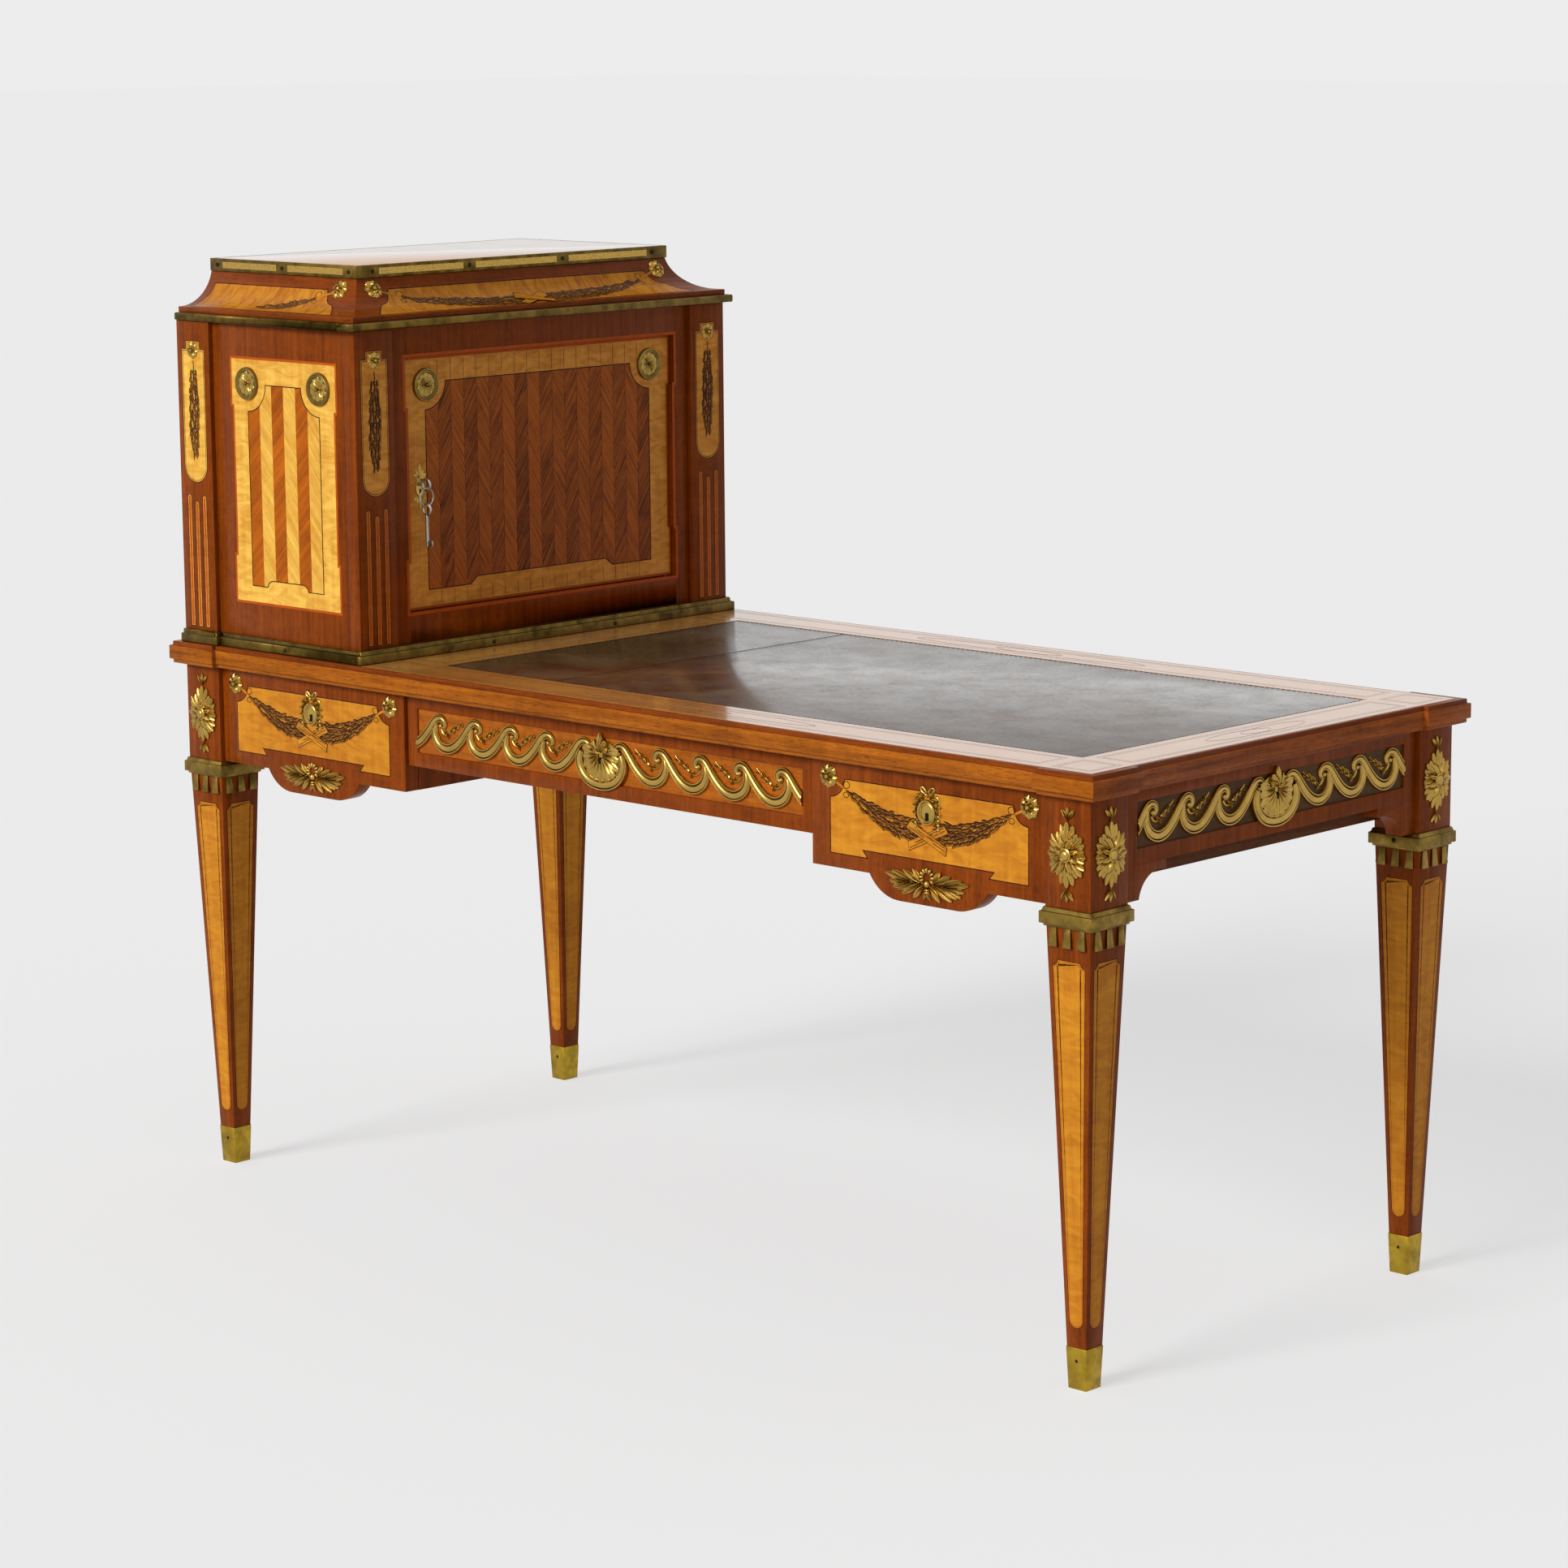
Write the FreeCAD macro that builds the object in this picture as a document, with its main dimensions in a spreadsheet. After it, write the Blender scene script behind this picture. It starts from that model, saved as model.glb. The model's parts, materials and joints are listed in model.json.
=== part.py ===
"""Writing desk with an end cabinet: a flat table on four tapered legs, three frieze drawers, and a small
cupboard with a coved top standing on the left end.

Frame: origin on the floor under the middle of the table, +X along the length away from the cabinet,
the drawer front faces -Y, +Z up. Sizes are in millimetres.
"""
import FreeCAD, Part
import math
import os

import Sketcher

# Driving dimensions: the table frame
top_height = 780  # floor to writing surface
top_thickness = 32  # table top with its mouldings
leg_span_x = 1628  # leg centres along the length
leg_span_y = 676  # leg centres across the depth
block_size = 71  # square block at the head of a leg
frieze_height = 139  # height of a leg block
break_step = 7  # set-back of what lies between the leg blocks
board_thick = 24  # drawer fronts, back boards and end rails
panel_thick = 18  # partitions, liners and cabinet sides

# Legs and their brass
shaft_top_size = 69  # leg shaft under the collar
shaft_end_size = 31  # leg shaft where it enters the cap
neck_inset = 3  # depth of the neck that the collar sits in
collar_height = 24  # whole height of a collar
collar_band = 15  # height of the collar's wide band
collar_rim = 3.5  # height of the rim under the band
collar_reach = 6  # band beyond the block on each side
collar_lip = 2  # rim and top edge beyond the block
drop_height = 24  # length of a collar drop
drop_top = 9  # width of a drop at its top
drop_foot = 13  # width of a drop at its foot
drop_thick = 4  # thickness of a drop at its foot
drop_pitch = 22  # spacing of the drops along a face
cap_height = 54  # height of a foot cap
cap_foot_size = 28.4  # foot cap at the floor
cap_top_size = 32.8  # foot cap at its upper edge
cap_wall = 1.2  # wall of a foot cap
cap_floor = 2  # sole of a foot cap

# Table top
top_overhang = 18  # top beyond the leg blocks
corner_lap = 8  # projecting corner past the inner face of a block
fascia_height = 20  # flat face of the top's edge
edge_height = 6  # moulding above the fascia
edge_inset = 4  # moulding behind the fascia
border_width = 90  # veneered border beside the leather
cabinet_margin = 84  # border between the cabinet and the leather
leather_thick = 2.6  # writing leather

# Frieze
knee_half = 386  # half the width of the middle section
foot_gap = 0.6  # side sections above the collars
tongue_flat = 48  # half the flat of a side drawer's tongue
tongue_reach = 98  # half the width of the tongue at its root
tongue_drop = 29  # depth of the tongue
centre_rise = 38  # middle section above the leg block's foot
centre_set = 5  # middle section behind the side sections
sunk_margin = 20  # plain margin around a sunk panel
sunk_depth = 3  # depth of a sunk panel
end_rise = 44  # end rail above the leg block's foot
bracket_foot = 30  # foot of an end bracket beside its block
bracket_reach = 83  # whole length of an end bracket
bracket_step = 12  # step where a bracket meets the rail
bracket_radius = 40  # hollow of an end bracket
end_margin = 26  # plain margin at the ends of an end panel

# Drawers
front_gap = 0.8  # clearance at the ends of a drawer front
lid_gap = 2  # clearance above a drawer front
guide_gap = 1  # clearance beside a drawer
seat_gap = 0.3  # drawer above its runners
box_thick = 12  # drawer sides and back
bottom_thick = 7  # drawer bottom
bottom_rise = 5  # drawer bottom above the lower edge of the sides
drawer_depth = 560  # length of a drawer side
drawer_top_drop = 14  # drawer side below the top of its front
runner_width = 14  # runner under a drawer side
runner_height = 9  # height of a runner
runner_rise = 15  # side drawers' runners above the foot of their section
lock_width = 56  # width of a drawer lock
lock_height = 46  # height of a drawer lock
lock_depth = 11  # depth of a drawer lock
bolt_width = 28  # width of a lock bolt
bolt_thick = 5  # thickness of a lock bolt
bolt_length = 26  # length of a lock bolt
bolt_gap = 0.3  # clearance round a bolt in its lock
bolt_throw = 10  # travel of a lock bolt
mortise_gap = 1.5  # clearance round a thrown bolt
keyhole_radius = 3  # keyhole through a front
keyhole_drop = 44  # side drawer keyhole below the top of its front

# Gilt mounts
mount_rise = 6  # height of a drawer mount above its wood
rosette_radius = 14  # drawer rosettes
rosette_inset = 30.25  # drawer rosette from the end of its section
rosette_drop = 20  # drawer rosette below the top of its front
plate_half_width = 22  # keyhole mount, half its width
plate_half_height = 28  # keyhole mount, half its height
spray_half_width = 62  # leaf spray, half its width
spray_half_height = 20  # leaf spray, half its height
shell_half_width = 46  # shell, half its width
shell_half_height = 36  # shell, half its height
scroll_band = 11  # width of the scroll's ribbon
mount_gap = 0.3  # shell and scroll apart
leaf_half_width = 30  # leaf rosette on a leg block, half its width
leaf_half_height = 36  # leaf rosette on a leg block, half its height
leaf_rise = 8  # height of a leaf rosette

# Cabinet
cabinet_height = 465  # cabinet wood above the table top
cabinet_depth = 376.5  # back of the cabinet to its pilasters
post_thick = 25  # thickness of a rear post
pilaster_thick = 24  # thickness of a front pilaster
back_thick = 14  # cabinet back
base_height = 19  # brass moulding round the foot of the cabinet
base_reach = 9.5  # base moulding beyond the wood
base_bead = 6  # upper member of the base moulding
base_bead_reach = 5  # upper member beyond the wood
frame_set = 7  # door frame behind the pilasters
frame_thick = 30  # thickness of the door frame
stile_width = 32.5  # door frame beside the opening
opening_margin = 43  # door opening from the ends of the frame
ear_reach = 4  # ears of the opening beyond its middle
ear_height = 74  # height of an ear
shelf_thick = 12  # cabinet shelf
shelf_level = 235  # underside of the shelf above the table top
shelf_set = 22  # shelf behind the door frame
batten_size = 14  # batten under the shelf
cornice_height = 11  # brass cornice
cornice_reach = 4  # cornice beyond the rear posts
cornice_bed = 34  # width of the cornice strip
hood_rim = 8  # upright edge under the cove
hood_edge = 2  # hood beyond the cabinet sides
cove_height = 48  # height of the cove
cove_reach = 63  # how far the cove runs in
cove_radius = 62  # radius of the cove
hood_wall = 24  # least wall of the hollow hood
rim_height = 18  # brass rim round the cabinet top
rim_thick = 6  # thickness of the brass rim
rim_reach = 2  # rim beyond the top of the cove
screw_radius = 3  # screw heads in the brass
screw_rise = 0.8  # screw heads above the brass
medallion_radius = 22  # round mounts of the sides and the door
medallion_rise = 6  # height of a medallion
side_medallion_offset = 77  # side medallion from the middle of its panel
medallion_level = 381  # medallions above the table top
door_medallion_inset = 41  # door medallion from the edge of the opening
small_rosette = 11  # rosettes of the pilasters and posts
small_rise = 5  # height of a small rosette
pilaster_rosette_drop = 42  # pilaster rosette below the cabinet's top

# Door, lock and keys
door_thick = 18  # door panel
door_set = 9  # door behind its frame
door_gap = 0.8  # clearance round the door
pivot_radius = 2.2  # door pivot pins
pivot_fit = 0.05  # running clearance of a pivot pin
pivot_inset = 7  # pivot from the hinged edge of the opening
pivot_depth = 3  # pivot behind the face of the door
pivot_grip = 12  # pivot pin inside the door
pivot_reach = 7  # pivot pin inside the frame
door_lock_width = 52  # width of the door lock
door_lock_height = 62  # height of the door lock
door_lock_depth = 12  # depth of the door lock
lock_seat = 0.2  # lock inside its recess
lock_wall = 2.5  # front and back plates of the door lock
keyhole_backset = 27  # keyhole from the edge of the opening
keyhole_level = 241.5  # door keyhole above the table top
plate_width = 20  # door keyhole plate
plate_height = 64  # height of the door keyhole plate
plate_thick = 1.6  # thickness of the door keyhole plate
key_radius = 2.4  # key stem
key_bit = 8  # key bit beyond its stem
key_bit_thick = 2  # thickness of the key bit
key_turn_gap = 1.2  # room round the turning bit
key_stand = 6  # key bow in front of the door
bow_radius = 8  # middle line of a key bow
bow_wire = 1.7  # half the thickness of a key bow
ring_radius = 12.5  # middle line of the key ring
ring_wire = 1  # half the thickness of the key ring
ring_gap = 0.3  # slack where a ring hangs on another
spare_length = 44  # stem of the hanging key

DOC = FreeCAD.newDocument("Desk")
SHEET = DOC.addObject("Spreadsheet::Sheet", "Sizes")
NODES = []


class Size:
    """A number together with the sheet expression that gives it."""

    def __init__(self, value, text):
        self.value = value
        self.text = text

    def join(self, other, sign, value):
        return Size(value, "(%s %s %s)" % (self.text, sign, size(other).text))

    def __add__(self, other):
        return self.join(other, "+", self.value + size(other).value)

    def __sub__(self, other):
        return self.join(other, "-", self.value - size(other).value)

    def __mul__(self, other):
        return self.join(other, "*", self.value * size(other).value)

    def __truediv__(self, other):
        return self.join(other, "/", self.value / size(other).value)

    def __neg__(self):
        return Size(-self.value, "(-%s)" % self.text)

    def __radd__(self, other):
        return size(other) + self

    def __rsub__(self, other):
        return size(other) - self

    def __rmul__(self, other):
        return size(other) * self


def size(number):
    """Any number as a Size."""
    return number if isinstance(number, Size) else Size(float(number), "(%.6g)" % number)


def sheet_rows(numbers):
    """One row of the sheet for every driving dimension, each given back as a Size that names its cell."""
    rows = {}
    for row, (alias, number) in enumerate(numbers.items(), 1):
        SHEET.set("A%d" % row, alias)
        SHEET.set("B%d" % row, "%.6g" % number)
        SHEET.setAlias("B%d" % row, alias)
        rows[alias] = Size(float(number), "Sizes." + alias)
    return rows


# From here on each driving dimension stands for its cell in the sheet
NUMBERS = {name: value for name, value in globals().items() if isinstance(value, (int, float))}
globals().update(sheet_rows(NUMBERS))

# Places worked out from the driving dimensions
half_x = leg_span_x / 2
half_y = leg_span_y / 2
frame_x = half_x + block_size / 2
frame_y = half_y + block_size / 2
block_in_x = half_x - block_size / 2
block_in_y = half_y - block_size / 2
frieze_top = top_height - top_thickness
block_foot = frieze_top - frieze_height
neck_foot = block_foot - collar_height
face_y = frame_y - break_step
inner_y = face_y - board_thick
end_x = frame_x - break_step
side_foot = block_foot + foot_gap
runner_foot = side_foot + runner_rise
front_head = frieze_top - lid_gap
centre_foot = block_foot + centre_rise
section_mid = (block_in_x + knee_half) / 2
section_half = (block_in_x - knee_half) / 2
centre_panel = knee_half - front_gap - sunk_margin
end_panel = block_in_y - end_margin
cabinet_back_x = -frame_x
cabinet_front_x = cabinet_depth - frame_x
cabinet_half = frame_y - break_step
cabinet_top_z = top_height + cabinet_height
frame_face_x = cabinet_front_x - frame_set
frame_back_x = frame_face_x - frame_thick
frame_half = frame_y - break_step - block_size
opening_half = frame_half - stile_width
opening_foot = top_height + base_height + opening_margin
opening_head = cabinet_top_z - opening_margin
door_face_x = frame_face_x - door_set
door_back_x = door_face_x - door_thick
hood_foot = cabinet_top_z + cornice_height
cove_foot = hood_foot + hood_rim
hood_head = cove_foot + cove_height
hood_half = cabinet_half + hood_edge
hood_front_x = cabinet_front_x + hood_edge
rim_half = hood_half - cove_reach + rim_reach
rim_front_x = hood_front_x - cove_reach + rim_reach
rim_head = hood_head + rim_height


def bind(item, **values):
    """Set each property, by its expression where the value is a Size."""
    for name, value in values.items():
        if isinstance(value, Size):
            item.setExpression(name, value.text)
        else:
            setattr(item, name, value)
    return item


def place(item, x=0, y=0, z=0, turn=None):
    """Put an object at a point given by sizes, turned by a fixed rotation."""
    item.Placement = FreeCAD.Placement(FreeCAD.Vector(), turn or FreeCAD.Rotation())
    for axis, value in (("x", x), ("y", y), ("z", z)):
        item.setExpression("Placement.Base." + axis, size(value).text)
    return item


def turned(axis, angle):
    """A rotation about one axis through the origin."""
    return FreeCAD.Rotation(FreeCAD.Vector(*axis), angle)


ALONG_X = turned((0, 1, 0), 90)
ALONG_Y = turned((1, 0, 0), -90)
AGAINST_Y = turned((1, 0, 0), 90)


def box(name, x_span, y_span, z_span):
    """A board between three pairs of planes."""
    board = DOC.addObject("Part::Box", name)
    bind(board, Length=x_span[1] - x_span[0], Width=y_span[1] - y_span[0], Height=z_span[1] - z_span[0])
    return place(board, x_span[0], y_span[0], z_span[0])


def both(half):
    """A span that is equal on both sides of the middle."""
    return (-half, half)


def about(middle, width):
    """A span of a given width about its middle."""
    return (middle - width / 2, middle + width / 2)


def on_side(sign, near, far):
    """A span on one side of the middle, low end first."""
    return (near, far) if sign > 0 else (-far, -near)


def taper(name, foot, head, foot_size, head_size, x, y, turn=0):
    """A square or oblong frustum between two levels; each size is (width, depth span)."""
    wedge = DOC.addObject("Part::Wedge", name)
    bind(wedge, Ymin=foot, Ymax=head, Xmin=-foot_size[0] / 2, Xmax=foot_size[0] / 2)
    bind(wedge, X2min=-head_size[0] / 2, X2max=head_size[0] / 2)
    bind(wedge, Zmin=-foot_size[1][1], Zmax=-foot_size[1][0], Z2min=-head_size[1][1], Z2max=-head_size[1][0])
    return place(wedge, x, y, 0, turned((0, 0, 1), turn) * AGAINST_Y)


def square(width):
    """Width and depth span of a square section."""
    return (width, both(width / 2))


def rod(name, radius, length, x, y, z, turn=None):
    """A cylinder from its centre along +Z, or as turned."""
    cylinder = bind(DOC.addObject("Part::Cylinder", name), Radius=radius, Height=length)
    return place(cylinder, x, y, z, turn)


def dome(name, half_width, half_height, rise, x, y, z, turn):
    """Half an ellipsoid that stands on its flat face."""
    cap = DOC.addObject("Part::Ellipsoid", name)
    bind(cap, Radius1=rise, Radius2=half_width, Radius3=half_height, Angle1=0, Angle2=90)
    return place(cap, x, y, z, turn)


def hoop(name, radius, wire, x, y, z, turn=None):
    """A ring of round wire."""
    torus = bind(DOC.addObject("Part::Torus", name), Radius1=radius, Radius2=wire)
    return place(torus, x, y, z, turn)


def fuse(name, parts):
    """Several shapes as one solid."""
    return bind(DOC.addObject("Part::MultiFuse", name), Shapes=list(parts), Refine=True)


def cut(name, base, *tools):
    """A shape with tools taken out of it."""
    for index, tool in enumerate(tools):
        base = bind(DOC.addObject("Part::Cut", "%s_cut%d" % (name, index)), Base=base, Tool=tool)
    return base


def node(label, *pieces):
    """Name a sub-part: one piece, or like pieces kept as separate solids."""
    whole = pieces[0]
    if len(pieces) > 1:
        whole = bind(DOC.addObject("Part::Compound", label), Links=list(pieces))
    whole.Label = label
    NODES.append(whole)
    return whole


def arc_between(start, end, radius):
    """The short arc between two points: to the left of the way for a positive radius."""
    chord = end - start
    middle = (start + end) * 0.5
    left = FreeCAD.Vector(-chord.y, chord.x, 0).normalize()
    reach = math.sqrt(radius * radius - chord.Length * chord.Length / 4)
    centre = middle + left * math.copysign(reach, radius)
    circle = Part.Circle(centre, FreeCAD.Vector(0, 0, 1), abs(radius))
    first, last = (start, end) if radius > 0 else (end, start)
    angles = [math.atan2(point.y - centre.y, point.x - centre.x) for point in (first, last)]
    return Part.ArcOfCircle(circle, *angles)


def outline(sketch, points):
    """A closed outline through points (u, v) or (u, v, radius of the arc to the next point)."""
    spots = [FreeCAD.Vector(size(point[0]).value, size(point[1]).value, 0) for point in points]
    ends = []
    for index, point in enumerate(points):
        start, end = spots[index], spots[(index + 1) % len(points)]
        if len(point) == 2:
            sketch.addGeometry(Part.LineSegment(start, end))
            ends.append((1, 2))
            continue
        sketch.addGeometry(arc_between(start, end, point[2].value))
        ends.append((1, 2) if point[2].value > 0 else (2, 1))
    for index, point in enumerate(points):
        after = (index + 1) % len(points)
        sketch.addConstraint(Sketcher.Constraint("Coincident", index, ends[index][1], after, ends[after][0]))
        for kind, value in (("DistanceX", point[0]), ("DistanceY", point[1])):
            rule = Sketcher.Constraint(kind, -1, 1, index, ends[index][0], size(value).value)
            number = sketch.addConstraint(rule)
            sketch.setExpression("Constraints[%d]" % number, size(value).text)
        if len(point) == 3:
            number = sketch.addConstraint(Sketcher.Constraint("Radius", index, abs(point[2].value)))
            rule = point[2] if point[2].value > 0 else -point[2]
            sketch.setExpression("Constraints[%d]" % number, rule.text)


def padded(name, plane, points, depth, x=0, y=0, z=0):
    """A body padded from an outline. XY pads up, XZ pads towards -Y and YZ towards +X."""
    body = DOC.addObject("PartDesign::Body", name)
    sketch = body.newObject("Sketcher::SketchObject", name + "_outline")
    origin = [item for item in body.Origin.OriginFeatures if item.Role == plane + "_Plane"][0]
    sketch.AttachmentSupport = (origin, [""])
    sketch.MapMode = "FlatFace"
    outline(sketch, points)
    pad = body.newObject("PartDesign::Pad", name + "_pad")
    pad.Profile = sketch
    pad.setExpression("Length", size(depth).text)
    return place(body, x, y, z)


def mirror_y(name, source):
    """The same piece on the other side of the middle plane Y = 0."""
    return bind(DOC.addObject("Part::Mirroring", name), Source=source, Normal=FreeCAD.Vector(0, 1, 0))


CORNERS = (("front_left", -1, -1), ("front_right", 1, -1), ("back_left", -1, 1), ("back_right", 1, 1))


def leg_at(corner, x, y):
    """One leg: block, neck for the collar, tapered shaft and the stub inside the cap."""
    stub_head = square(cap_top_size - 2 * cap_wall)
    stub_foot = square(cap_foot_size - 2 * cap_wall)
    neck = block_size - 2 * neck_inset
    parts = [
        box(corner + "_block", about(x, block_size), about(y, block_size), (block_foot, frieze_top)),
        box(corner + "_neck", about(x, neck), about(y, neck), (neck_foot, block_foot)),
        taper(corner + "_shaft", cap_height, neck_foot, square(shaft_end_size), square(shaft_top_size), x, y),
        taper(corner + "_stub", cap_floor, cap_height, stub_foot, stub_head, x, y),
    ]
    return fuse("leg_" + corner, parts)


def collar_at(corner, x, y):
    """A brass collar in the leg's neck: rim, wide band and a sloping top."""
    rim = block_size + 2 * collar_lip
    band = block_size + 2 * collar_reach
    neck = block_size - 2 * neck_inset
    band_foot = neck_foot + collar_rim
    band_head = band_foot + collar_band
    parts = [
        box(corner + "_rim", about(x, rim), about(y, rim), (neck_foot, band_foot)),
        box(corner + "_band", about(x, band), about(y, band), (band_foot, band_head)),
        taper(corner + "_slope", band_head, block_foot, square(band - 2 * collar_lip), square(rim), x, y),
    ]
    hole = box(corner + "_hole", about(x, neck), about(y, neck), (neck_foot, block_foot))
    return cut(corner + "_collar", fuse(corner + "_collar_body", parts), hole)


def drops_at(corner, x, y):
    """Three tapered drops under the collar on each face of a leg."""
    drops = []
    near = shaft_top_size / 2
    foot = neck_foot - drop_height
    for face, (turn, across_x, across_y) in enumerate(((0, 1, 0), (90, 0, 1), (180, -1, 0), (270, 0, -1))):
        for place_along in (-1, 0, 1):
            name = "%s_drop_%d_%d" % (corner, face, place_along + 1)
            along = drop_pitch * place_along
            foot_size = (drop_foot, (near, near + drop_thick))
            head_size = (drop_top, (near, near + drop_thick / 2))
            drops.append(taper(name, foot, neck_foot, foot_size, head_size,
                               x + along * across_x, y + along * across_y, turn))
    return drops


def cap_at(corner, x, y):
    """A brass cap on the foot of a leg."""
    foot, head = square(cap_foot_size), square(cap_top_size)
    shell = taper(corner + "_cap_shell", size(0), cap_height, foot, head, x, y)
    foot, head = square(cap_foot_size - 2 * cap_wall), square(cap_top_size - 2 * cap_wall)
    hollow = taper(corner + "_cap_hollow", cap_floor, cap_height, foot, head, x, y)
    return cut(corner + "_cap", shell, hollow)


def make_legs():
    """Four legs with their collars, drops and foot caps."""
    collars, drops, caps = [], [], []
    for corner, sign_x, sign_y in CORNERS:
        x, y = half_x * sign_x, half_y * sign_y
        node("leg_" + corner, leg_at(corner, x, y))
        collars.append(collar_at(corner, x, y))
        drops.extend(drops_at(corner, x, y))
        caps.append(cap_at(corner, x, y))
    node("leg_collars", *collars)
    node("collar_drops", *drops)
    node("foot_caps", *caps)


def leaf_mounts():
    """A leaf rosette on the two outer faces of every leg block."""
    leaves = []
    level = (block_foot + frieze_top) / 2
    for corner, sign_x, sign_y in CORNERS:
        upright = turned((0, 0, 1), 90) if sign_x > 0 else turned((0, 0, 1), -90)
        leaves.append(dome(corner + "_leaf_y", leaf_half_width, leaf_half_height, leaf_rise,
                           half_x * sign_x, frame_y * sign_y, level, ALONG_Y if sign_y > 0 else AGAINST_Y))
        leaves.append(dome(corner + "_leaf_x", leaf_half_width, leaf_half_height, leaf_rise,
                           frame_x * sign_x, half_y * sign_y, level, upright * AGAINST_Y))
    node("leg_leaf_mounts", *leaves)


def top_outline(inset):
    """The top's outline with its four projecting corners, drawn in by an inset."""
    far_x = frame_x + top_overhang - inset
    far_y = frame_y + top_overhang - inset
    near_x = far_x - break_step
    near_y = far_y - break_step
    lap_x = block_in_x - corner_lap + inset
    lap_y = block_in_y - corner_lap + inset
    quarter = [(near_x, lap_y), (far_x, lap_y), (far_x, far_y), (lap_x, far_y), (lap_x, near_y)]
    left = [(-u, v) for u, v in reversed(quarter)]
    return quarter + left + [(-u, -v) for u, v in quarter] + [(u, -v) for u, v in reversed(quarter)]


def lock_places():
    """Middle of each drawer lock along X, with the plane at the back of its front."""
    centre_back = inner_y - centre_set
    return (("left", -section_mid, inner_y),
            ("centre", size(0), centre_back),
            ("right", section_mid, inner_y))


def bolt_span(back):
    """Depth span of a drawer bolt in its lock, for a front whose back is at -back."""
    return about(-back + lock_depth / 2, bolt_thick)


def make_top():
    """The table top with its leather and the mortises for the drawer bolts."""
    fascia_foot = top_height - edge_height - fascia_height
    fascia_head = top_height - edge_height
    parts = [
        padded("top_under", "XY", top_outline(edge_inset), fascia_foot - frieze_top, 0, 0, frieze_top),
        padded("top_fascia", "XY", top_outline(size(0)), fascia_height, 0, 0, fascia_foot),
        padded("top_edge", "XY", top_outline(edge_inset), edge_height, 0, 0, fascia_head),
    ]
    margin = top_overhang - break_step - border_width
    leather_x = (cabinet_front_x + base_reach + cabinet_margin, frame_x + margin)
    leather_y = both(frame_y + margin)
    recess = box("leather_recess", leather_x, leather_y, (top_height - leather_thick, top_height))
    mortises = []
    for name, middle, back in lock_places():
        low, high = bolt_span(back)
        mortises.append(box(name + "_mortise", about(middle, bolt_width + 2 * mortise_gap),
                            (low - mortise_gap, high + mortise_gap), (frieze_top, frieze_top + bolt_throw)))
    node("top_board", cut("top", fuse("top_whole", parts), recess, *mortises))
    node("writing_leather", box("leather", leather_x, leather_y, (top_height - leather_thick, top_height)))


def make_ends():
    """A rail with a sunk panel and two hollow brackets at each end of the table."""
    rail_foot = block_foot + end_rise
    pieces = []
    tip = block_in_y - bracket_reach
    knee = block_in_y - bracket_foot
    ledge = rail_foot - bracket_step
    bracket = [(block_in_y, rail_foot), (tip, rail_foot), (tip, ledge),
               (tip + bracket_step / 2, ledge, -bracket_radius), (knee, block_foot), (block_in_y, block_foot)]
    for name, sign in (("left", -1), ("right", 1)):
        board = on_side(sign, end_x - board_thick, end_x)
        rail = box(name + "_rail", board, both(block_in_y), (rail_foot, frieze_top))
        sunk = box(name + "_sunk", on_side(sign, end_x - sunk_depth, end_x), both(end_panel),
                   (rail_foot + sunk_margin, frieze_top - sunk_margin + sunk_depth))
        back_bracket = padded(name + "_bracket", "YZ", bracket, board_thick, board[0])
        front_bracket = mirror_y(name + "_bracket_front", back_bracket)
        pieces += [cut(name + "_end", rail, sunk), back_bracket, front_bracket]
    node("end_aprons", *pieces)


def side_outline(middle):
    """Front of a side section: a board with a rounded tongue hanging from its lower edge."""
    half = section_half - front_gap
    width = tongue_reach - tongue_flat
    bend = (width * width + tongue_drop * tongue_drop) / (2 * tongue_drop)
    low = side_foot - tongue_drop
    return [(middle - half, side_foot), (middle - tongue_reach, side_foot, bend), (middle - tongue_flat, low),
            (middle + tongue_flat, low, bend), (middle + tongue_reach, side_foot), (middle + half, side_foot),
            (middle + half, front_head), (middle - half, front_head)]


def centre_board(name, back):
    """Front of the middle section with its sunk panel; its back is at y = -back."""
    half = knee_half - front_gap
    board = box(name + "_board", both(half), (-back - board_thick, -back), (centre_foot, front_head))
    face = -back - board_thick
    sunk = box(name + "_sunk", both(centre_panel), (face, face + sunk_depth),
               (centre_foot + sunk_margin, front_head - sunk_margin + sunk_depth))
    return cut(name, board, sunk)


def make_carcass():
    """Partitions, liners and runners inside the frieze, and the boards that close its back."""
    runners, partitions, backs = [], [], []
    side_level = (runner_foot, runner_foot + runner_height)
    centre_level = (centre_foot, centre_foot + runner_height)
    for name, sign in (("left", -1), ("right", 1)):
        wall = on_side(sign, knee_half, knee_half + panel_thick)
        depth = (front_gap - inner_y, inner_y)
        partitions.append(box(name + "_partition", wall, depth, (side_foot, frieze_top)))
        liner = on_side(sign, block_in_x, block_in_x + panel_thick)
        runners.append(box(name + "_liner", liner, both(block_in_y), (runner_foot, frieze_top)))
        outer = on_side(sign, block_in_x - runner_width, block_in_x)
        inner = on_side(sign, knee_half + panel_thick, knee_half + panel_thick + runner_width)
        centre = on_side(sign, knee_half - runner_width, knee_half)
        runners.append(box(name + "_outer_runner", outer, both(block_in_y), side_level))
        runners.append(box(name + "_inner_runner", inner, both(block_in_y), side_level))
        runners.append(box(name + "_centre_runner", centre, both(block_in_y), centre_level))
        backs.append(padded(name + "_back_board", "XZ", side_outline(section_mid * sign), board_thick,
                            0, inner_y + board_thick))
    backs.append(mirror_y("centre_back", centre_board("centre_back_board", inner_y - centre_set)))
    node("knee_partitions", *partitions)
    node("drawer_runners", *runners)
    node("back_apron", *backs)


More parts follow.
